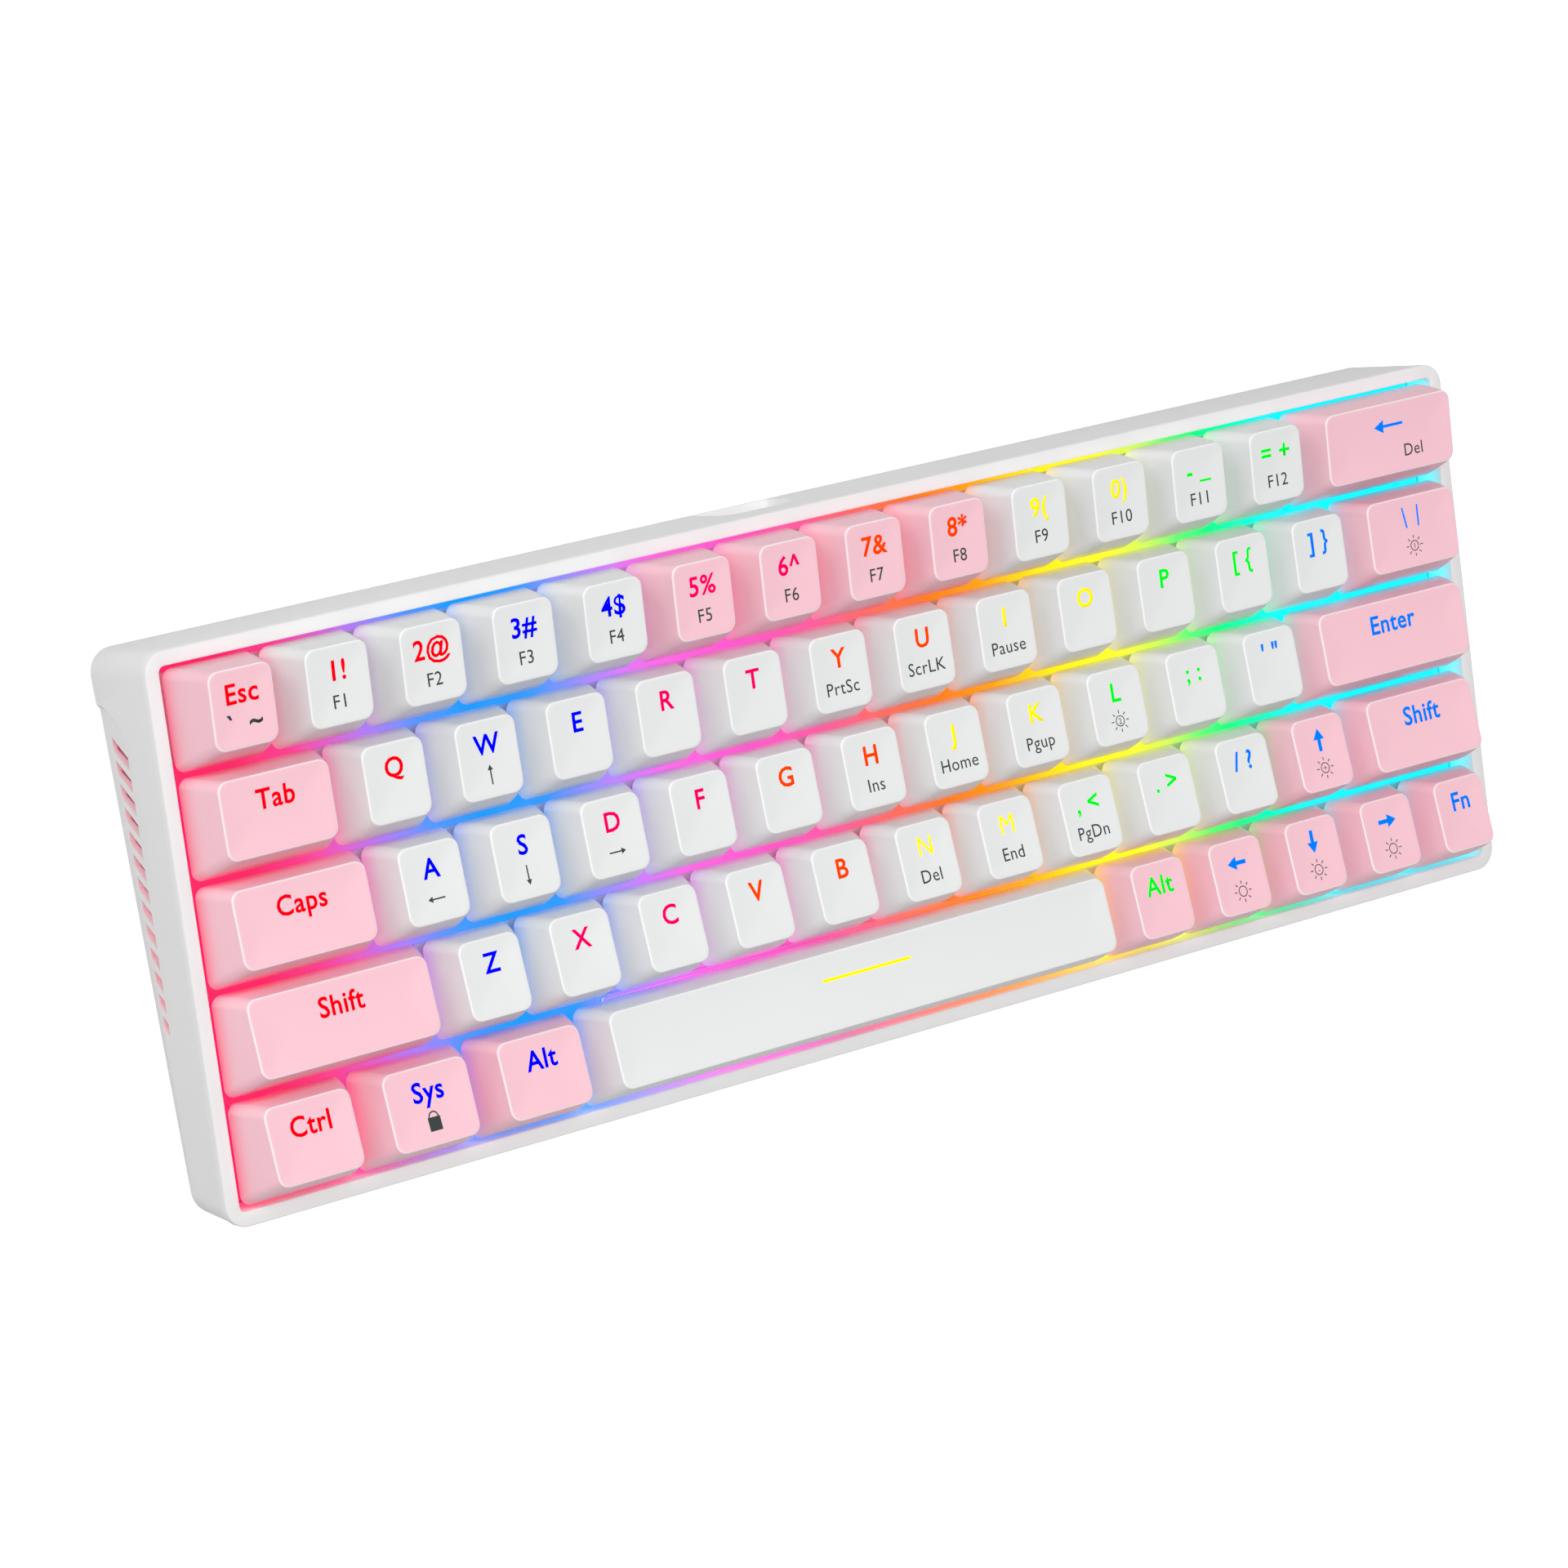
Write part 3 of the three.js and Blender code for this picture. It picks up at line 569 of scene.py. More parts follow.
def runs_back(edge):
    """Whether an edge runs between front and rear."""
    return abs(edge.verts[0].co.y - edge.verts[1].co.y) > 4 * MM


def faces_up(face):
    return face.normal.z > 0.9


def faces_down(face):
    return face.normal.z < -0.9


def new_object(operator, name, **settings):
    """Adds an object at the origin with nothing else selected."""
    object_mode()
    bpy.ops.object.select_all(action="DESELECT")
    operator(location=(0, 0, 0), **settings)
    piece = bpy.context.object
    piece.name = piece.data.name = name
    return piece


def block(name, low, high):
    """A box between two corners, ready in edit mode with all of it selected."""
    piece = new_object(bpy.ops.mesh.primitive_cube_add, name, size=1)
    edit(piece)
    low, high = Vector(low), Vector(high)
    bpy.ops.transform.resize(value=high - low, center_override=(0, 0, 0))
    bpy.ops.transform.translate(value=(low + high) / 2)
    return piece


def rod(name, radius, start, end, sides=16):
    """An upright round bar from start to end, which differ only in z, in edit mode."""
    start, end = Vector(start), Vector(end)
    piece = new_object(bpy.ops.mesh.primitive_cylinder_add, name, vertices=sides,
                       radius=radius, depth=(end - start).length)
    edit(piece)
    bpy.ops.transform.translate(value=(start + end) / 2)
    return piece


def round_edges(test, radius, segments=3, slot=-1):
    """Bevels the edges that pass the test; slot is the new faces' material slot."""
    choose("EDGE", test)
    bpy.ops.mesh.bevel(offset=radius, segments=segments, affect="EDGES",
                       offset_type="OFFSET", clamp_overlap=True, material=slot)


def soften(offset, segments=2):
    """Bevels the edges that are selected."""
    bpy.ops.mesh.bevel(offset=offset, segments=segments, affect="EDGES")


def inset(margin):
    """Insets the faces that are selected."""
    bpy.ops.mesh.inset(thickness=margin)


def pull(height):
    """Extrudes the faces that are selected straight up or down."""
    bpy.ops.mesh.extrude_region_move(TRANSFORM_OT_translate={"value": (0, 0, height)})


def scale_about(point, *factors):
    """Scales what is selected about a point."""
    bpy.ops.transform.resize(value=factors, center_override=point)


def move(x=0, y=0, z=0):
    """Moves what is selected."""
    bpy.ops.transform.translate(value=(x, y, z))


def apply_modifier(piece, kind, **settings):
    """Adds a modifier with these settings and applies it."""
    only(piece)
    bpy.ops.object.modifier_add(type=kind)
    modifier = piece.modifiers[-1]
    for label, value in settings.items():
        setattr(modifier, label, value)
    bpy.ops.object.modifier_apply(modifier=modifier.name)


def carve(piece, tool, operation="DIFFERENCE"):
    """Cuts the tool out of the piece, or adds it, and drops the tool."""
    apply_modifier(piece, "BOOLEAN", object=tool, operation=operation, solver="EXACT")
    bpy.data.objects.remove(tool)


def merge(*pieces):
    """Joins pieces into the first one."""
    only(*pieces)
    bpy.ops.object.join()
    return pieces[0]


def copy_of(piece, name):
    """A copy of a piece with its own mesh."""
    only(piece)
    bpy.ops.object.duplicate(linked=False)
    twin = bpy.context.object
    twin.name = twin.data.name = name
    return twin


def place(piece, matrix):
    """Moves a piece's mesh by a matrix; its object stays at the origin."""
    only(piece)
    piece.matrix_world = matrix
    bpy.ops.object.transform_apply(location=True, rotation=True, scale=True)
    return piece


def smooth(piece, degrees=35):
    only(piece)
    bpy.ops.object.shade_smooth_by_angle(angle=math.radians(degrees))


def dress(piece, *materials):
    """Gives a piece its materials, in slot order."""
    object_mode()
    piece.data.materials.clear()
    for material in materials:
        piece.data.materials.append(material)


def settle(piece, body, finish_slot, *nodes):
    """Rides the finished piece on its body and lets it stand for its CAD nodes."""
    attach(piece, body)
    if nodes:
        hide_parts(*nodes)
    return piece


def on_deck(piece):
    """Sets a piece that was shaped in the deck frame down on the sloping deck."""
    return place(piece, DECK)


def sizes():
    """Cap sizes and case sizes from the panel."""
    return bpy.context.scene.keyboard_caps, bpy.context.scene.keyboard_case


# ------------------------------------------------------------------ keycaps
def key_places():
    """Every key's table entry with its row and its middle on the deck."""
    cap, _ = sizes()
    found = []
    for row, entries in enumerate(KEY_ROWS):
        edge = -sum(entry[1] for entry in entries) / 2 * cap.pitch
        y = ((len(KEY_ROWS) - 1) / 2 - row) * cap.pitch
        for entry in entries:
            found.append((entry, row, Vector((edge + entry[1] * cap.pitch / 2, y, 0))))
            edge += entry[1] * cap.pitch
    return found


def cap_shell(units, row):
    """The tapered shell of a cap, with its rounded edges and the dish in its top."""
    cap, _ = sizes()
    wide, deep = units * cap.pitch - cap.gap, cap.pitch - cap.gap
    rear, front = (height * MM for height in ROW_PROFILES[row])
    foot, top = -cap.skirt, front - cap.skirt
    shell = block("cap_shell", (-wide / 2, -deep / 2, foot), (wide / 2, deep / 2, top))
    top_wide = wide - 2 * cap.side_inset
    top_deep = deep - cap.front_inset - cap.rear_inset
    shift = (cap.front_inset - cap.rear_inset) / 2
    upper = foot + min(rear, front) * 0.8
    choose("FACE", faces_up)
    scale_about((0, 0, top), top_wide / wide, top_deep / deep, 1)
    move(y=shift)
    choose("VERT", lambda v: v.co.z > 0 and v.co.y > 0)
    move(z=rear - front)
    choose("EDGE", lambda edge: rise(edge) > 0.7)
    bpy.ops.mesh.subdivide(number_cuts=1)
    choose("VERT", lambda v: foot + 1 * MM < v.co.z < upper)
    scale_about((0, shift / 2, 0), 1 + 2 * cap.bulge / wide, 1 + 2 * cap.bulge / deep, 1)
    round_edges(lambda edge: rise(edge) > 0.7, cap.corner, 6)
    dress(shell, cap_body("white"), cap_edge_highlight("white"))
    edit(shell)
    choose("FACE", faces_down)
    bpy.ops.mesh.delete(type="FACE")
    # The top edge's bevel takes slot 1, the painted highlight
    round_edges(lambda edge: rise(edge) < 0.5 and all(v.co.z > upper for v in edge.verts),
                cap.edge, 2, 1)
    (centre,) = choose("FACE", lambda face: face.normal.z > 0.9 and len(face.verts) > 12)
    half_x, half_y = top_wide / 2 - cap.edge, top_deep / 2 - cap.edge
    sunk = 0
    for margin, share in DISH_RINGS:
        step = margin * MM
        bpy.ops.mesh.extrude_region_move()
        narrow, short = (half_x - step) / half_x, (half_y - step) / half_y
        scale_about(centre, narrow, short, short)
        move(z=sunk - share * cap.dish)
        centre.z += sunk - share * cap.dish
        sunk = share * cap.dish
        half_x, half_y = half_x - step, half_y - step
    object_mode()
    # Faces level with the top go back to the cap's own colour; the rest of the bevel keeps the
    # painted highlight
    level = Vector((0, (front - rear) / top_deep, 1)).normalized()
    for face in shell.data.polygons:
        if face.normal.dot(level) > 0.975:
            face.material_index = 0
    smooth(shell, 50)
    apply_modifier(shell, "SOLIDIFY", thickness=cap.wall, offset=-1, use_even_offset=True)
    apply_modifier(shell, "WEIGHTED_NORMAL", keep_sharp=True)
    return shell


def cap_stem(x, height):
    """The round mount under a cap."""
    cap, _ = sizes()
    stem = rod("stem", 2.75 * MM, (x, 0, -cap.skirt), (x, 0, height), 20)
    choose("FACE", faces_down)
    inset(0.6 * MM)
    pull(3 * MM)
    dress(stem, cap_body("white"))
    smooth(stem)
    return stem


def switch_slider():
    """The slider under a cap, with its cross-shaped post."""
    cap, _ = sizes()
    lower = -cap.skirt - cap.slider_reach
    pieces = []
    # Each part's half width and half depth in mm, lower and upper end, and edge radius in mm
    for name, half_x, half_y, low, high, edge in (
            ("slider", 2.95, 2.45, lower, -2.2 * MM, 0.5),
            ("post_wide", 2.0, 0.6, -2.6 * MM, 1.6 * MM, 0.12),
            ("post_deep", 0.6, 2.0, -2.6 * MM, 1.6 * MM, 0.12)):
        part = block(name, (-half_x * MM, -half_y * MM, low), (half_x * MM, half_y * MM, high))
        soften(edge * MM)
        dress(part, finish("switch_slider", look().slider, roughness=0.35))
        smooth(part)
        pieces.append(part)
    return merge(*pieces)


def cap_kind(units, row, span):
    """One kind of cap with its mounts and slider, about its own middle."""
    _, front = (height * MM for height in ROW_PROFILES[row])
    ceiling = front - 3.4 * MM  # the mounts end within the cap's top
    stems = [cap_stem(x, ceiling) for x in ([0, -span, span] if span else [0])]
    return merge(cap_shell(units, row), *stems, switch_slider())


# ------------------------------------------------------------------ legends
def flat_box(low, high):
    """A flat rectangle on z = 0, ready in edit mode."""
    piece = new_object(bpy.ops.mesh.primitive_plane_add, "flat_box", size=1)
    edit(piece)
    low, high = Vector((*low, 0)), Vector((*high, 0))
    scale_about((0, 0, 0), high.x - low.x, high.y - low.y, 1)
    bpy.ops.transform.translate(value=(low + high) / 2)
    return piece


def raised(piece, height):
    """Moves a flat piece towards the rear by a height in mm."""
    return place(piece, Matrix.Translation((0, height * MM, 0)))


def draw_arrow(style, direction):
    """A flat arrow."""
    reach, thick, head, spread, height = ARROWS[style]
    shaft = flat_box(((-reach / 2 + head * 0.9) * MM, -thick / 2 * MM),
                     (reach / 2 * MM, thick / 2 * MM))
    tip = flat_box((-reach / 2 * MM, -spread / 2 * MM),
                   ((-reach / 2 + head) * MM, spread / 2 * MM))
    choose("VERT", lambda v: v.co.x < (-reach / 2 + head / 2) * MM)
    bpy.ops.mesh.merge(type="CENTER")
    turn = Matrix.Rotation(math.radians(ARROW_TURNS[direction]), 4, "Z")
    return raised(place(merge(shaft, tip), turn), height)


def draw_ring(radius, thick, sides=20):
    """A flat ring."""
    ring = new_object(bpy.ops.mesh.primitive_circle_add, "ring", vertices=sides,
                      radius=radius * MM, fill_type="NGON")
    edit(ring)
    inset(thick * MM)
    bpy.ops.mesh.delete(type="FACE")
    return ring


def draw_sun(mark):
    """A small sun with a sign or a number in its ring."""
    parts = [draw_ring(1.05, 0.17)]
    for index in range(8):
        ray = flat_box((1.42 * MM, -0.09 * MM), (2.05 * MM, 0.09 * MM))
        parts.append(place(ray, Matrix.Rotation(index * math.pi / 4, 4, "Z")))
    if mark:
        parts.append(raised(write(mark, 1.15 * MM, 0), -0.57))
    return raised(merge(*parts), 1.2)


def draw_lock():
    """A small padlock."""
    bow = raised(draw_ring(1.05, 0.25), 2.0)
    return merge(flat_box((-1.25 * MM, -0.4 * MM), (1.25 * MM, 2.0 * MM)), bow)


def draw_bars():
    """A slanted bar and an upright one."""
    bars = []
    for x, turn in ((-1.7, 0.2), (1.7, 0)):
        bar = flat_box((-0.18 * MM, -2.1 * MM), (0.18 * MM, 2.1 * MM))
        spot = Matrix.Translation((x * MM, 2.0 * MM, 0))
        bars.append(place(bar, spot @ Matrix.Rotation(turn, 4, "Z")))
    return merge(*bars)


def draw_symbol(name):
    """A drawn legend, about the middle of the line of letters it stands in for."""
    style, _, detail = name.partition("_")
    if style in ARROWS:
        return draw_arrow(style, detail)
    if style == "sun":
        return draw_sun(detail)
    if style == "lock":
        return draw_lock()
    if style == "bars":
        return draw_bars()
    if style == "dash":
        return flat_box((-10 * MM, 1.0 * MM), (10 * MM, 1.55 * MM))
    raise RuntimeError(f"no symbol named {name}")


def write(words, height, weight):
    """Letters as a flat mesh on z = 0, centred along x with their foot on y = 0."""
    text = new_object(bpy.ops.object.text_add, "letters")
    text.data.body = words
    text.data.size = height / LETTER_CAPITAL
    text.data.align_x = "CENTER"
    text.data.resolution_u = 3
    text.data.offset = weight * height
    text.data.space_character = 1.06
    bpy.ops.object.convert(target="MESH")
    return place(bpy.context.object, Matrix.Diagonal((LETTER_SQUEEZE, 1, 1, 1)))


def legend(words, height, base, weight, material, cap_piece, x=0):
    """Writes or draws a legend and lays it on the top of a cap."""
    cap, _ = sizes()
    if words.startswith("@"):
        mark = draw_symbol(words[1:])
    else:
        mark = write(words, height, weight)
    place(mark, Matrix.Translation((x, base, 20 * MM)))
    apply_modifier(mark, "SHRINKWRAP", target=cap_piece, wrap_method="PROJECT",
                   use_project_z=True, use_negative_direction=True,
                   use_positive_direction=False, offset=cap.paint)
    apply_modifier(mark, "SOLIDIFY", thickness=cap.paint * 3, offset=-1)
    dress(mark, material)
    for face in mark.data.polygons:
        face.material_index = 0
    return mark


class KEYBOARD_OT_caps(bpy.types.Operator):
    """Makes the keycaps with their legends, one piece for each key"""

    bl_idname = "keyboard.caps"
    bl_label = "Keycaps"

    def execute(self, context):
        cap, _ = sizes()
        kinds = {}
        for (name, units, shade, ink, upper, lower), row, middle_point in key_places():
            kind = (units, row, STEM_SPANS.get(name, 0) * MM)
            if kind not in kinds:
                kinds[kind] = cap_kind(*kind)
            piece = copy_of(kinds[kind], f"cap_{name}")
            piece.data.materials[0] = cap_body(shade)
            # Slot 1 is the painted highlight along the top edge
            piece.data.materials[1] = cap_edge_highlight(shade)
            weight = 0 if upper in THIN_LETTERS else LETTER_WEIGHT
            marks = [legend(upper, cap.upper_height, cap.upper_base, weight, paint(ink), piece)]
            if lower:
                x = BACKSPACE_LEGEND_X if name == "backspace" else 0
                weight, scale = (SIGN_WEIGHT, SIGN_SCALE) if name == "esc" else (0, 1)
                marks.append(legend(lower, cap.lower_height * scale, cap.lower_base, weight,
                                    paint("dark"), piece, x))
            merge(piece, *marks)
            place(piece, DECK @ Matrix.Translation(middle_point))
            node = f"key_{name}"
            if node in frame["bodies"]:
                settle(piece, node, f"cap_{shade}", node)
            else:
                settle(piece, "root", f"cap_{shade}")
        for sample in kinds.values():
            bpy.data.objects.remove(sample)
        return {"FINISHED"}


# ------------------------------------------------------------------ switches and board
def switch_housing():
    """A switch: its body under the plate, its flange on it and the tapered upper housing."""
    _, case = sizes()
    half_body, flange_half, crown_half, ledge = 6.9 * MM, 7.7 * MM, 4.6 * MM, 0.9 * MM
    flange = -case.plate + 0.3 * MM
    housing = block("switch_body", (-half_body, -half_body, -case.board),
                    (half_body, half_body, flange))
    choose("FACE", faces_up)
    widen = flange_half / half_body
    scale_about((0, 0, flange), widen, widen, 1)
    pull(0.9 * MM)
    inset(ledge)
    pull(5.2 * MM)
    narrow = crown_half / (flange_half - ledge)
    scale_about((0, 0, -case.plate + 6.4 * MM), narrow, narrow, 1)
    inset(1.2 * MM)
    pull(-10.6 * MM)
    round_edges(lambda edge: rise(edge) > 0.5 and middle(edge).z > flange + 1 * MM
                and max(abs(middle(edge).x), abs(middle(edge).y)) > 4.4 * MM, 0.8 * MM, 2)
    dress(housing, finish("switch_housing", look().switch, roughness=0.38))
    smooth(housing)
    return housing


class KEYBOARD_OT_switches(bpy.types.Operator):
    """Makes the circuit board and the switches on it, a piece for each row of switches"""

    bl_idname = "keyboard.switches"
    bl_label = "Switches and board"

    def execute(self, context):
        _, case = sizes()
        sample = switch_housing()
        rows = {}
        for (name, *_), row, middle_point in key_places():
            twin = copy_of(sample, f"switch_{name}")
            rows.setdefault(row, []).append(place(twin, Matrix.Translation(middle_point)))
        bpy.data.objects.remove(sample)
        for row, twins in rows.items():
            piece = merge(*twins)
            piece.name = piece.data.name = f"switches_row_{row + 1}"
            settle(on_deck(piece), "root", "switch_white", "circuit_board")
        settle(on_deck(self.board(-case.board)), "root", "switch_white", "circuit_board")
        return {"FINISHED"}

    def board(self, top):
        """The circuit board with its controller and a diode beside each switch."""
        _, case = sizes()
        half_x, half_y, beside = 140.2 * MM, 45.1 * MM, Vector((7.6 * MM, 3 * MM, 0))
        board = block("circuit_board_detail", (-half_x, -half_y, top - case.board_thickness),
                      (half_x, half_y, top - 0.02 * MM))
        round_edges(lambda edge: rise(edge) > 0.7, 2 * MM, 4)
        dress(board, finish("board_paint", look().board, roughness=0.4))
        chip = block("controller", (-30 * MM, -3.5 * MM, top - 2.9 * MM),
                     (-23 * MM, 3.5 * MM, top - 1.5 * MM))
        soften(0.25 * MM)
        dress(chip, component_black())
        diode = block("diode", (-0.9 * MM, -0.5 * MM, top - 2.4 * MM),
                      (0.9 * MM, 0.5 * MM, top - 1.5 * MM))
        soften(0.15 * MM, 1)
        dress(diode, component_black())
        parts = [board, chip]
        for _, _, middle_point in key_places():
            twin = copy_of(diode, "diode_copy")
            parts.append(place(twin, Matrix.Translation(middle_point + beside)))
        bpy.data.objects.remove(diode)
        return merge(*parts)


# ------------------------------------------------------------------ case
def tub(name, top, foot, belly, levels, corner):
    """A closed block that narrows to the foot of the walls and again to the belly.

    top, foot and belly are half sizes in x and y; levels are their heights at the middle.
    The two lower levels are parallel to the desk."""
    _, case = sizes()
    z_top, z_foot, z_belly = levels
    piece = block(name, (-top[0], -top[1], z_foot), (top[0], top[1], z_top))
    choose("FACE", faces_down)
    scale_about((0, 0, z_foot), foot[0] / top[0], foot[1] / top[1], 1)
    for side in (-1, 1):
        choose("VERT", lambda v: v.co.z < (z_top + z_foot) / 2 and v.co.y * side > 0)
        move(z=-side * case.slope * foot[1])
    choose("FACE", faces_down)
    pull(z_belly - z_foot)
    narrow, short = belly[0] / foot[0], belly[1] / foot[1]
    scale_about((0, 0, z_belly), narrow, short, short)
    round_edges(lambda edge: rise(edge) > 0.3, corner, 8)
    return piece


def on_side(tool, side):
    """A cutter made for the right wall, mirrored for the left one where side is -1."""
    if side < 0:
        place(tool, Matrix.Rotation(math.pi, 4, "Z"))
        edit(tool)
        scale_about((0, 0, 0), 1, -1, 1)
        bpy.ops.mesh.normals_make_consistent(inside=False)
    return tool


def side_slots(side):
    """The cutters for the slanted slots of one side wall."""
    _, case = sizes()
    first_rear, slant = 31.8 * MM, 0.52
    outer = case.opening_x + case.rim
    tools = []
    for index in range(case.slots):
        rear = first_rear - index * case.slot_pitch
        low = -case.wall_depth - case.slope * rear + case.slot_end
        tools.append(block("slot", (outer - 4 * MM, rear - case.slot_width, low),
                           (outer + 2 * MM, rear, -case.slot_top)))
        choose("VERT", lambda v: v.co.z < (low - case.slot_top) / 2)
        move(y=(-case.slot_top - low) * slant)
    return on_side(merge(*tools), side)


def side_recess(side):
    """The cutter that lets a side panel in towards its lower edge."""
    _, case = sizes()
    start, rear, draft, flare = -10.4 * MM, 39.6 * MM, 0.045, 35 * MM
    face_x = case.opening_x + case.rim - draft * (-start - case.lip)
    tool = block("recess", (face_x, -75 * MM, start - 16 * MM), (face_x + 30 * MM, rear, start))
    round_edges(lambda edge: middle(edge).y > rear - 0.6 * MM
                and middle(edge).z > start - 1 * MM, 9.3 * MM, 16)
    choose("VERT", lambda v: v.co.x > face_x + 15 * MM)
    move(y=flare)
    hinge = Matrix.Translation((face_x, 0, start))
    lean = math.atan(case.recess / (10 * MM) + draft)
    place(tool, hinge @ Matrix.Rotation(lean, 4, "Y") @ hinge.inverted())
    return on_side(tool, side)


def desk_block(name, low, high):
    """A box given in the desk frame, as a cutter in the deck frame."""
    return place(block(name, low, high), TO_DECK)


class KEYBOARD_OT_case(bpy.types.Operator):
    """Makes the lower case with its slots, recesses, notch and pockets"""

    bl_idname = "keyboard.case"
    bl_label = "Lower case"

    def execute(self, context):
        _, case = sizes()
        rim = (case.opening_x + case.rim, case.opening_y + case.rim)
        foot = tuple(half - case.foot_inset for half in rim)
        belly = tuple(half - case.belly_run for half in foot)
        z_top = -case.lip - case.seam
        z_foot, z_belly = -case.wall_depth, -case.wall_depth - case.belly_drop
        shell = tub("case_shell", rim, foot, belly, (z_top, z_foot, z_belly), case.corner)
        foot_level = (z_foot + z_belly) / 2
        for below, radius in ((True, 0.9 * MM), (False, 0.15 * MM)):
            round_edges(lambda edge: rise(edge) < 0.3 and middle(edge).z < -10 * MM and below
                        == (middle(edge).z < foot_level - case.slope * middle(edge).y),
                        radius, 2)
        inner = [tuple(half - case.wall for half in level) for level in (rim, foot, belly)]
        levels = (z_top + 2 * MM, z_foot + 0.5 * MM, z_belly + case.floor)
        hollow = tub("hollow", *inner, levels, case.corner - case.wall)
        for side in (-1, 1):
            carve(shell, side_recess(side))
        carve(shell, hollow)
        wall_lean = 0.52 * MM  # how far the rear wall stands in at the socket's height
        self.add_notch(shell, rim[1] - wall_lean)
        self.add_pockets(shell)
        for side in (-1, 1):
            carve(shell, side_slots(side))
        dress(shell, case_white(), case_inside_painted_glow())
        # The slots' sides and the inner faces take the finish with the plate's light painted on
        for face in shell.data.polygons:
            if self.in_slot(face, rim) or self.inside(face, rim, z_belly):
                face.material_index = 1
        smooth(shell, 32)
        shell.name = shell.data.name = "lower_case"
        settle(on_deck(shell), "root", "case_white", "bottom_case")
        return {"FINISHED"}

    def in_slot(self, face, rim):
        """Whether a face is a side of one of the slots."""
        _, case = sizes()
        x, y, z = face.center
        wall_foot = -case.wall_depth - case.slope * y
        return (abs(x) > rim[0] - 3.2 * MM and abs(face.normal.x) < 0.8
                and wall_foot + 1.2 * MM < z < -case.slot_top + 0.6 * MM
                and -20 * MM < y < 38 * MM)

    def inside(self, face, rim, z_belly):
        """Whether a face belongs to the floor or the walls as seen from within."""
        _, case = sizes()
        x, y, z = face.center
        inwards = face.normal.dot(Vector((x / rim[0] ** 2, y / rim[1] ** 2, 0)))
        return (abs(x) < rim[0] - case.wall + 0.2 * MM
                and abs(y) < rim[1] - case.wall + 0.2 * MM
                and z > z_belly - case.slope * y + 0.8 * MM
                and (face.normal.z > 0.5 or inwards < 0 and abs(face.normal.z) < 0.5))

    def add_notch(self, shell, rear):
        """Sets a block behind the rear wall and cuts the notch and the socket's hole in it."""
        _, case = sizes()
        board_bottom = -case.board - case.board_thickness
        low_x = case.notch_middle - case.notch_width / 2
        high_x = case.notch_middle + case.notch_width / 2
        wall = block("notch_wall", (low_x - 2 * MM, rear - case.notch_depth - 1.2 * MM,
                                    -case.notch_ledge - 1.2 * MM),
                     (high_x + 2 * MM, rear - 0.8 * MM, -case.notch_top + 1.2 * MM))
        round_edges(upright, 0.4 * MM, 2)
        carve(shell, wall, "UNION")
        notch = block("notch", (low_x, rear - case.notch_depth, -case.notch_ledge),
                      (high_x, rear + 6 * MM, -case.notch_top))
        round_edges(lambda edge: runs_back(edge) and middle(edge).z > -10 * MM, 4.5 * MM, 8)
        round_edges(lambda edge: middle(edge).y < rear - case.notch_depth + 0.1 * MM,
                    1.0 * MM, 3)
        carve(shell, notch)
        low, high = deck_box("usb_socket")
        hole = block("socket_hole", (low.x - 0.25 * MM, rear - 8 * MM,
                                     board_bottom - 3.75 * MM),
                     (high.x + 0.25 * MM, rear + 1 * MM, board_bottom - 0.05 * MM))
        round_edges(runs_back, 1.1 * MM, 4)
        carve(shell, hole)

    def add_pockets(self, shell):
        """Cuts the pockets of the feet and the recesses of the strips."""
        under = -1 * MM
        for side in ("left", "right"):
            low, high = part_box(f"foot_{side}")
            # Each block's margin beside the foot in mm, its front, rear, lower and upper ends
            for name, x, low_y, high_y, low_z, high_z, operation in (
                    ("pocket_wall", 1.2, low.y - 1.6 * MM, high.y + 1.6 * MM, 2.6 * MM,
                     high.z + 2 * MM, "UNION"),
                    ("pocket", -1.1, low.y - 0.5 * MM, high.y + 0.5 * MM, under,
                     high.z + 0.6 * MM, "DIFFERENCE"),
                    ("pin_room", 0.3, high.y - 3.4 * MM, high.y - 0.2 * MM, under,
                     high.z + 0.2 * MM, "DIFFERENCE")):
                carve(shell, desk_block(name, (low.x - x * MM, low_y, low_z),
                                        (high.x + x * MM, high_y, high_z)), operation)
        for end in ("front", "rear"):
            low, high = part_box(f"rubber_strip_{end}")
            room = 0.25 * MM
            carve(shell, desk_block("strip_room", (low.x - room, low.y - room, under),
                                    (high.x + room, high.y + room, high.z + 0.1 * MM)))


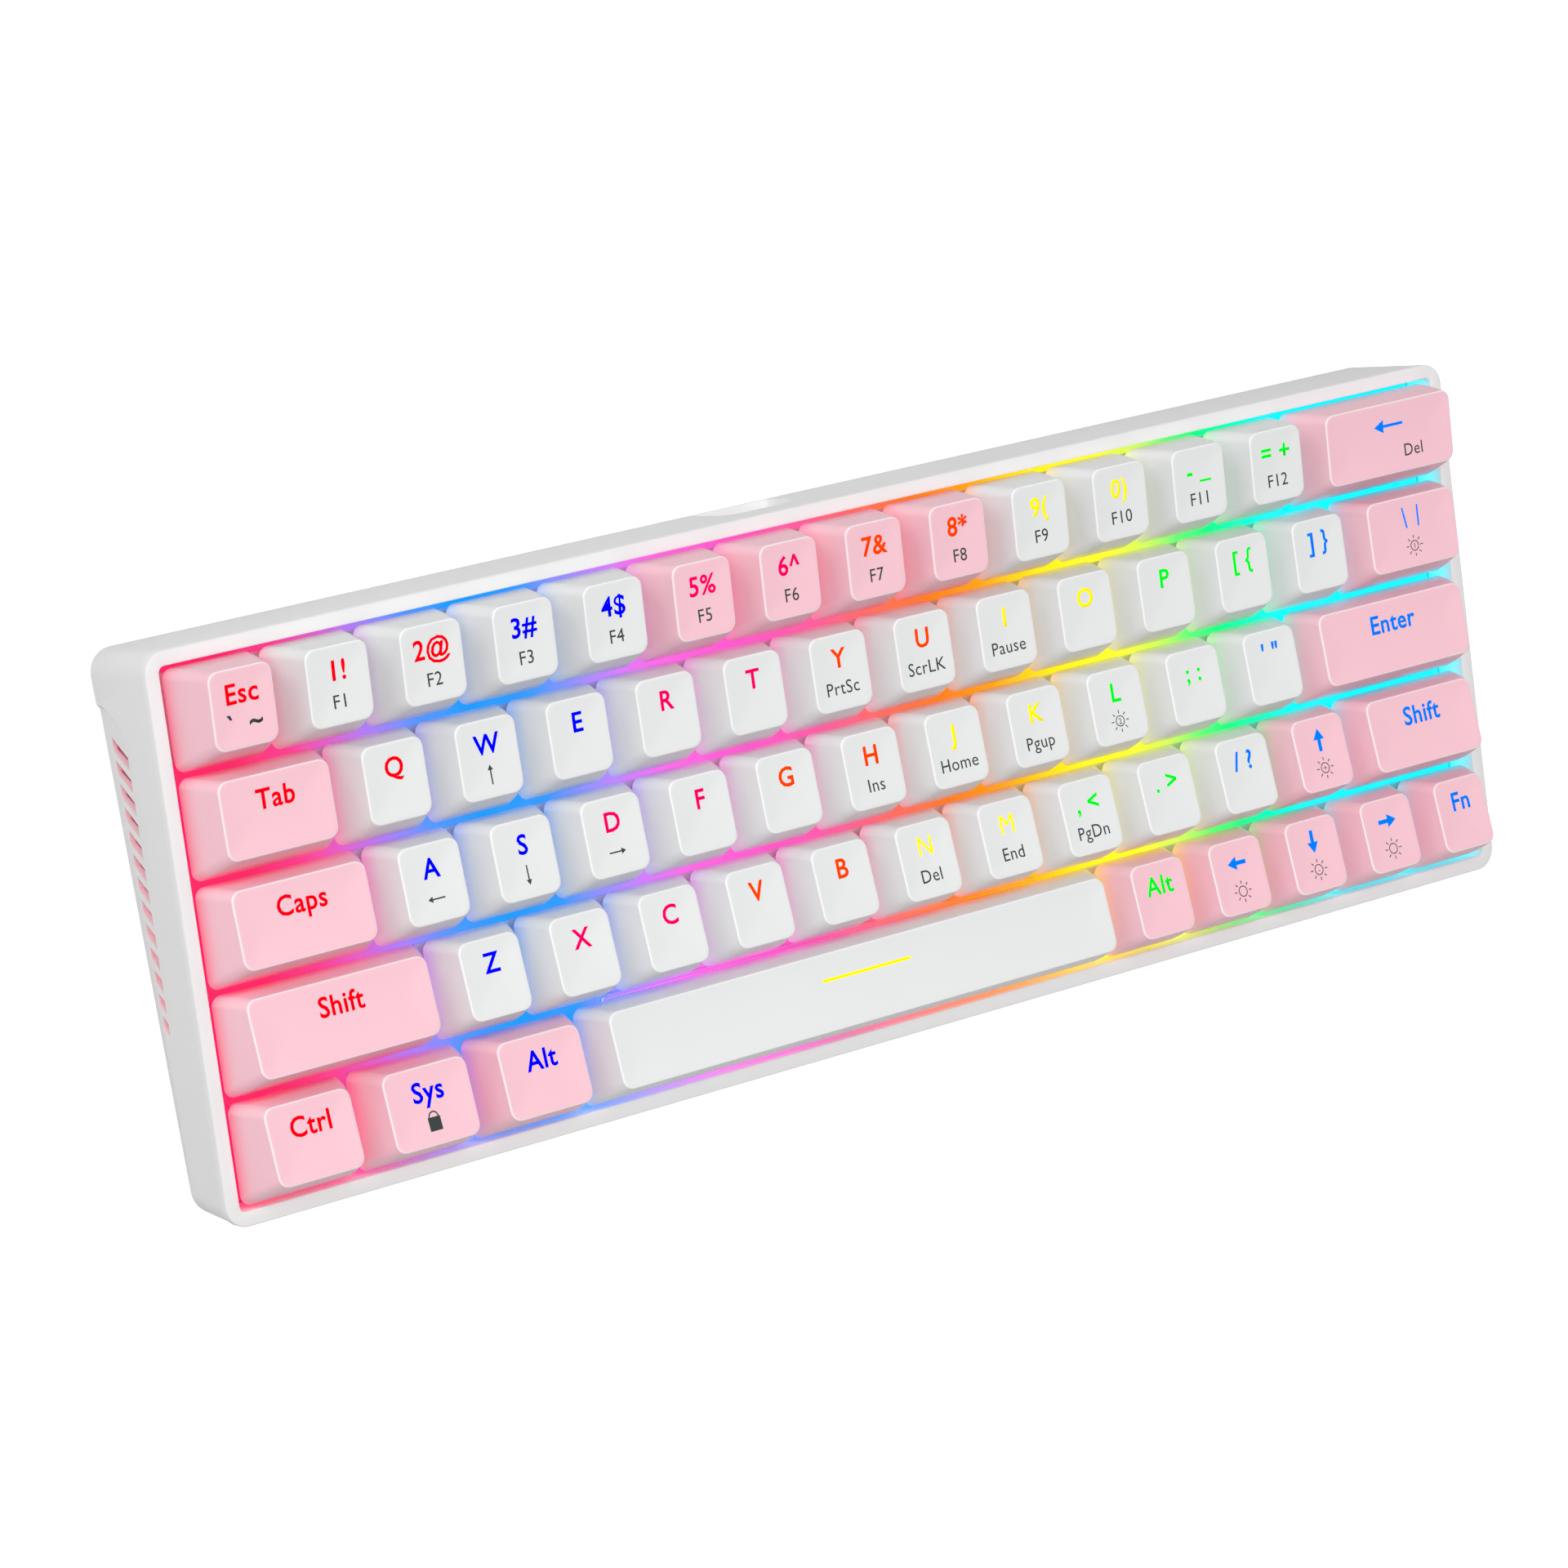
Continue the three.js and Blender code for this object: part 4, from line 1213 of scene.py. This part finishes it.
class KEYBOARD_OT_frame(bpy.types.Operator):
    """Makes the white frame round the keys"""

    bl_idname = "keyboard.frame"
    bl_label = "Top frame"

    def execute(self, context):
        _, case = sizes()
        rim = (case.opening_x + case.rim, case.opening_y + case.rim)
        rail = block("top_frame_detail", (-rim[0], -rim[1], -case.lip), (rim[0], rim[1], 0))
        round_edges(upright, case.corner, 10)
        round_edges(lambda edge: is_level(edge) and middle(edge).z > -0.1 * MM,
                    case.rim_edge, 3)
        self.combine(rail, "UNION", 1 * MM, -case.plate + 0.3 * MM, -0.9 * MM)
        self.combine(rail, "DIFFERENCE", 0, -12 * MM, 6 * MM)
        edit(rail)
        round_edges(lambda edge: all(abs(v.co.z) < 0.01 * MM for v in edge.verts)
                    and self.at_opening(middle(edge), 0.01 * MM), 0.3 * MM, 3)
        dress(rail, frame_white(), painted_glow_wall(), case_white())
        for face in rail.data.polygons:
            # Side faces round the opening take the wall with the plate's light painted on; the
            # other side faces take the case's white
            if abs(face.normal.z) < 0.3:
                lit = self.at_opening(face.center, 0.05 * MM) and face.center.z < -0.35 * MM
                face.material_index = 1 if lit else 2
        smooth(rail, 32)
        settle(on_deck(rail), "root", "case_white", "top_frame")
        return {"FINISHED"}

    def at_opening(self, point, slack):
        """Whether a point lies within the opening or on its border."""
        _, case = sizes()
        return abs(point.x) < case.opening_x + slack and abs(point.y) < case.opening_y + slack

    def combine(self, rail, operation, margin, low, high):
        """Adds or cuts a block with the opening's outline, wider by the margin."""
        _, case = sizes()
        half_x, half_y = case.opening_x + margin, case.opening_y + margin
        tool = block("opening", (-half_x, -half_y, low), (half_x, half_y, high))
        round_edges(upright, case.opening_corner + margin, 6)
        carve(rail, tool, operation)


class KEYBOARD_OT_plate(bpy.types.Operator):
    """Paints the lamps' light on the switch plate and makes the stabiliser wires"""

    bl_idname = "keyboard.plate"
    bl_label = "Plate and wires"

    def execute(self, context):
        dress(frame["nodes"]["switch_plate"], plate_painted_light())
        for name, span in STEM_SPANS.items():
            node = f"wire_{name}"
            points, radius = self.wire_points(*deck_box(node), span * MM, name != "space")
            wire = self.bent_wire(f"stabiliser_{name}", points, radius)
            settle(on_deck(wire), node, "wire_steel", node)
        return {"FINISHED"}

    def wire_points(self, low, high, half, in_front):
        """A wire's points and radius; it lies in front of its stems or behind them."""
        radius, bend, end_gap = 0.75 * MM, 1.6 * MM, 0.1 * MM
        towards = bend if in_front else -bend
        axis_y = low.y + radius if in_front else high.y - radius
        axis_z = low.z + radius
        tip_y = high.y - end_gap if in_front else low.y + end_gap
        left = [(-half, tip_y, high.z - radius * 0.98),
                (-half, axis_y + towards, axis_z + 0.35 * MM),
                (-half + 0.3 * bend, axis_y + 0.35 * towards, axis_z),
                (-half + bend, axis_y, axis_z)]
        right = [(-x, y, z) for x, y, z in reversed(left)]
        middle_x = (low.x + high.x) / 2
        return [(middle_x + x, y, z) for x, y, z in left + right], radius

    def bent_wire(self, name, points, radius):
        """A round wire through the points, closed at both ends."""
        curve = new_object(bpy.ops.curve.primitive_bezier_curve_add, name).data
        curve.splines.clear()
        spline = curve.splines.new("POLY")
        spline.points.add(len(points) - 1)
        for point, co in zip(spline.points, points):
            point.co = (*co, 1)
        curve.dimensions = "3D"
        curve.bevel_depth = radius
        curve.bevel_resolution = 3
        curve.use_fill_caps = True
        bpy.ops.object.convert(target="MESH")
        wire = bpy.context.object
        wire.data.name = name
        dress(wire, steel_painted_glow())
        smooth(wire, 50)
        return wire


class KEYBOARD_OT_socket(bpy.types.Operator):
    """Makes the socket in the rear notch"""

    bl_idname = "keyboard.socket"
    bl_label = "Socket"

    def execute(self, context):
        low, high = deck_box("usb_socket")
        shell = block("socket_detail", low, high)
        round_edges(runs_back, 1.15 * MM, 5)
        choose("FACE", lambda face: face.normal.y > 0.9)
        inset(0.3 * MM)
        bpy.ops.mesh.extrude_region_move(TRANSFORM_OT_translate={"value": (0, -5.6 * MM, 0)})
        dress(shell, steel())
        mid_x, mid_z = (low.x + high.x) / 2, (low.z + high.z) / 2
        tongue = block("tongue", (mid_x - 3.2 * MM, high.y - 6.4 * MM, mid_z - 0.4 * MM),
                       (mid_x + 3.2 * MM, high.y - 0.9 * MM, mid_z + 0.4 * MM))
        soften(0.15 * MM)
        dress(tongue, component_black())
        piece = merge(shell, tongue)
        smooth(piece)
        settle(on_deck(piece), "root", "socket_steel", "usb_socket")
        return {"FINISHED"}


class KEYBOARD_OT_underside(bpy.types.Operator):
    """Makes the rubber strips and the flip-out feet"""

    bl_idname = "keyboard.underside"
    bl_label = "Strips and feet"

    def execute(self, context):
        rubber = finish("rubber", look().rubber, roughness=0.85, grain=1500.0, bump=0.2)
        for end in ("front", "rear"):
            low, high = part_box(f"rubber_strip_{end}")
            strip = block(f"rubber_strip_{end}_detail", low, high)
            round_edges(upright, 3.2 * MM, 8)
            round_edges(lambda edge: is_level(edge) and middle(edge).z < low.z + 0.1 * MM,
                        0.25 * MM, 2)
            choose("FACE", lambda face: face.normal.z < -0.99)
            inset(1.1 * MM)
            pull(0.3 * MM)
            dress(strip, rubber)
            smooth(strip)
            settle(strip, "root", "rubber", f"rubber_strip_{end}")
        for side in ("left", "right"):
            self.foot(side, rubber)
        return {"FINISHED"}

    def foot(self, side, rubber):
        """A foot with its knuckle and pins, a finger hollow and a rubber tip."""
        low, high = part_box(f"foot_{side}")
        pin_reach, pin_radius, thick = 1.6 * MM, 1.2 * MM, high.z - low.z
        axis_y, axis_z = high.y - thick / 2, (low.z + high.z) / 2
        x0, x1 = low.x + pin_reach, high.x - pin_reach
        leaf = block(f"foot_{side}_detail", (x0, low.y, low.z), (x1, axis_y, high.z))
        round_edges(lambda edge: upright(edge) and middle(edge).y < axis_y - 5 * MM, 3 * MM, 6)
        choose("FACE", faces_down)
        inset(3.2 * MM)
        pull(1.0 * MM)
        dress(leaf, case_white())
        lying = Matrix.Translation((0, axis_y, axis_z)) @ Matrix.Rotation(math.pi / 2, 4, "Y")
        parts = [leaf]
        for radius, start, end in ((thick / 2, x0, x1), (pin_radius, low.x, high.x)):
            bar = rod("knuckle", radius, (0, 0, start), (0, 0, end), 28)
            dress(bar, case_white())
            parts.append(place(bar, lying))
        pad = block("foot_pad", (x0 + 2.2 * MM, low.y, low.z + 0.4 * MM),
                    (x1 - 2.2 * MM, low.y + 2 * MM, high.z - 0.4 * MM))
        soften(0.5 * MM, 3)
        dress(pad, rubber)
        piece = merge(*parts, pad)
        smooth(piece)
        settle(piece, f"foot_{side}", "case_white", f"foot_{side}")


# ------------------------------------------------------------------ stage
class KEYBOARD_OT_stage(bpy.types.Operator):
    """Makes the floor, the lights and the camera"""

    bl_idname = "keyboard.stage"
    bl_label = "Floor, lights and camera"

    def execute(self, context):
        stage = context.scene.keyboard_stage
        self.floor(stage)
        self.sky(stage)
        self.glow_sheet()
        self.lamp("key_light", (-0.35, 0.3, 1.8), 1.3, stage.key)
        self.lamp("fill_light", (-1.3, 0.9, 0.6), 0.8, stage.fill)
        self.camera(context, stage)
        context.scene.view_settings.view_transform = "Standard"
        return {"FINISHED"}

    def floor(self, stage):
        """A white floor that can be looked through from below."""
        floor = new_object(bpy.ops.mesh.primitive_plane_add, "floor", size=stage.floor)
        material, tree, shader = new_material("floor")
        seen = add_node(tree, "LightPath").outputs["Is Camera Ray"]
        feed(tree, shader, {"Base Color": (0.7, 0.7, 0.7, 1), "Roughness": 0.9,
                            "Specular IOR Level": 0, "Emission Color": (1, 1, 1, 1),
                            "Emission Strength": math_node(tree, "MULTIPLY", seen, 0.72)})
        below = add_node(tree, "NewGeometry").outputs["Backfacing"]
        clear = add_node(tree, "BsdfTransparent").outputs[0]
        sides = add_node(tree, "MixShader", {"Fac": below, 1: shader.outputs[0], 2: clear})
        feed(tree, tree.nodes["Material Output"], {"Surface": sides.outputs[0]})
        dress(floor, material)

    def sky(self, stage):
        """Even light all round, and white where the camera sees it."""
        world = bpy.data.worlds.new("studio")
        bpy.context.scene.world = world
        world.use_nodes = True
        tree = world.node_tree
        seen = add_node(tree, "LightPath").outputs["Is Camera Ray"]
        level = add_node(tree, "Mix", {"Factor": seen, "A": stage.sky, "B": 1})
        feed(tree, tree.nodes["Background"], {"Color": (1, 1, 1, 1),
                                              "Strength": level.outputs["Result"]})

    def glow_sheet(self):
        """The lamps under the plate: a sheet of coloured light that only lights other things."""
        _, case = sizes()
        sheet = new_object(bpy.ops.mesh.primitive_plane_add, "glow_sheet", size=2)
        edit(sheet)
        scale_about((0, 0, 0), case.opening_x - 0.4 * MM, case.opening_y - 0.4 * MM, 1)
        move(z=-case.plate + 0.05 * MM)
        on_deck(sheet)
        material, tree, shader = new_material("glow_sheet")
        tree.nodes.remove(shader)
        colours = group_node(tree, "plate_light", plate_light_group,
                             {"Vector": add_node(tree, "TexCoord").outputs["Object"]})
        light = add_node(tree, "Emission", {"Color": colours.outputs["Color"],
                                            "Strength": look().glow})
        feed(tree, tree.nodes["Material Output"], {"Surface": light.outputs[0]})
        dress(sheet, material)
        sheet.visible_camera = False
        sheet.visible_shadow = False

    def lamp(self, name, spot, side, power):
        bpy.ops.object.light_add(type="AREA", location=spot)
        lamp = bpy.context.object
        lamp.name = name
        lamp.data.shape, lamp.data.size, lamp.data.energy = "SQUARE", side, power
        lamp.rotation_mode = "QUATERNION"
        lamp.rotation_quaternion = (-Vector(spot)).to_track_quat("-Z", "Y")

    def camera(self, context, stage):
        bpy.ops.object.camera_add(location=stage.camera)
        camera = bpy.context.object
        camera.name = "camera"
        camera.rotation_mode = "QUATERNION"
        towards = Vector(stage.aim) - Vector(stage.camera)
        turn = towards.to_track_quat("-Z", "Y").to_matrix().to_4x4()
        turn = turn @ Matrix.Rotation(stage.roll, 4, "Z")
        camera.rotation_quaternion = turn.to_quaternion()
        camera.data.lens = stage.lens
        camera.data.sensor_width = 36
        camera.data.clip_start, camera.data.clip_end = 0.05, 20
        context.scene.camera = camera


# ------------------------------------------------------------------ panel
PIECE_OPERATORS = (KEYBOARD_OT_case, KEYBOARD_OT_frame, KEYBOARD_OT_plate, KEYBOARD_OT_switches,
                   KEYBOARD_OT_caps, KEYBOARD_OT_socket, KEYBOARD_OT_underside,
                   KEYBOARD_OT_stage)


class KEYBOARD_PT_panel(bpy.types.Panel):
    """Lists the pieces of the keyboard"""

    bl_idname = "KEYBOARD_PT_panel"
    bl_label = "Mechanical Keyboard"
    bl_space_type = "VIEW_3D"
    bl_region_type = "UI"
    bl_category = "Keyboard"

    def draw(self, context):
        for operator in PIECE_OPERATORS:
            self.layout.operator(operator.bl_idname)
        for name in PROPERTY_GROUPS:
            group = getattr(context.scene, name)
            box = self.layout.box()
            for label in group.__annotations__:
                box.prop(group, label)


PROPERTY_GROUPS = {
    "keyboard_caps": KeyboardCapSizes,
    "keyboard_case": KeyboardCaseSizes,
    "keyboard_finish": KeyboardFinish,
    "keyboard_stage": KeyboardStage,
}
CLASSES = (*PROPERTY_GROUPS.values(), *PIECE_OPERATORS, KEYBOARD_PT_panel)


def register():
    for each in CLASSES:
        bpy.utils.register_class(each)
    for name, group in PROPERTY_GROUPS.items():
        setattr(bpy.types.Scene, name, bpy.props.PointerProperty(type=group))


def unregister():
    for name in PROPERTY_GROUPS:
        delattr(bpy.types.Scene, name)
    for each in reversed(CLASSES):
        bpy.utils.unregister_class(each)


def main():
    register()
    bpy.ops.keyboard.case()
    bpy.ops.keyboard.frame()
    bpy.ops.keyboard.plate()
    bpy.ops.keyboard.switches()
    bpy.ops.keyboard.caps()
    bpy.ops.keyboard.socket()
    bpy.ops.keyboard.underside()
    bpy.ops.keyboard.stage()


if __name__ == "__main__":
    main()
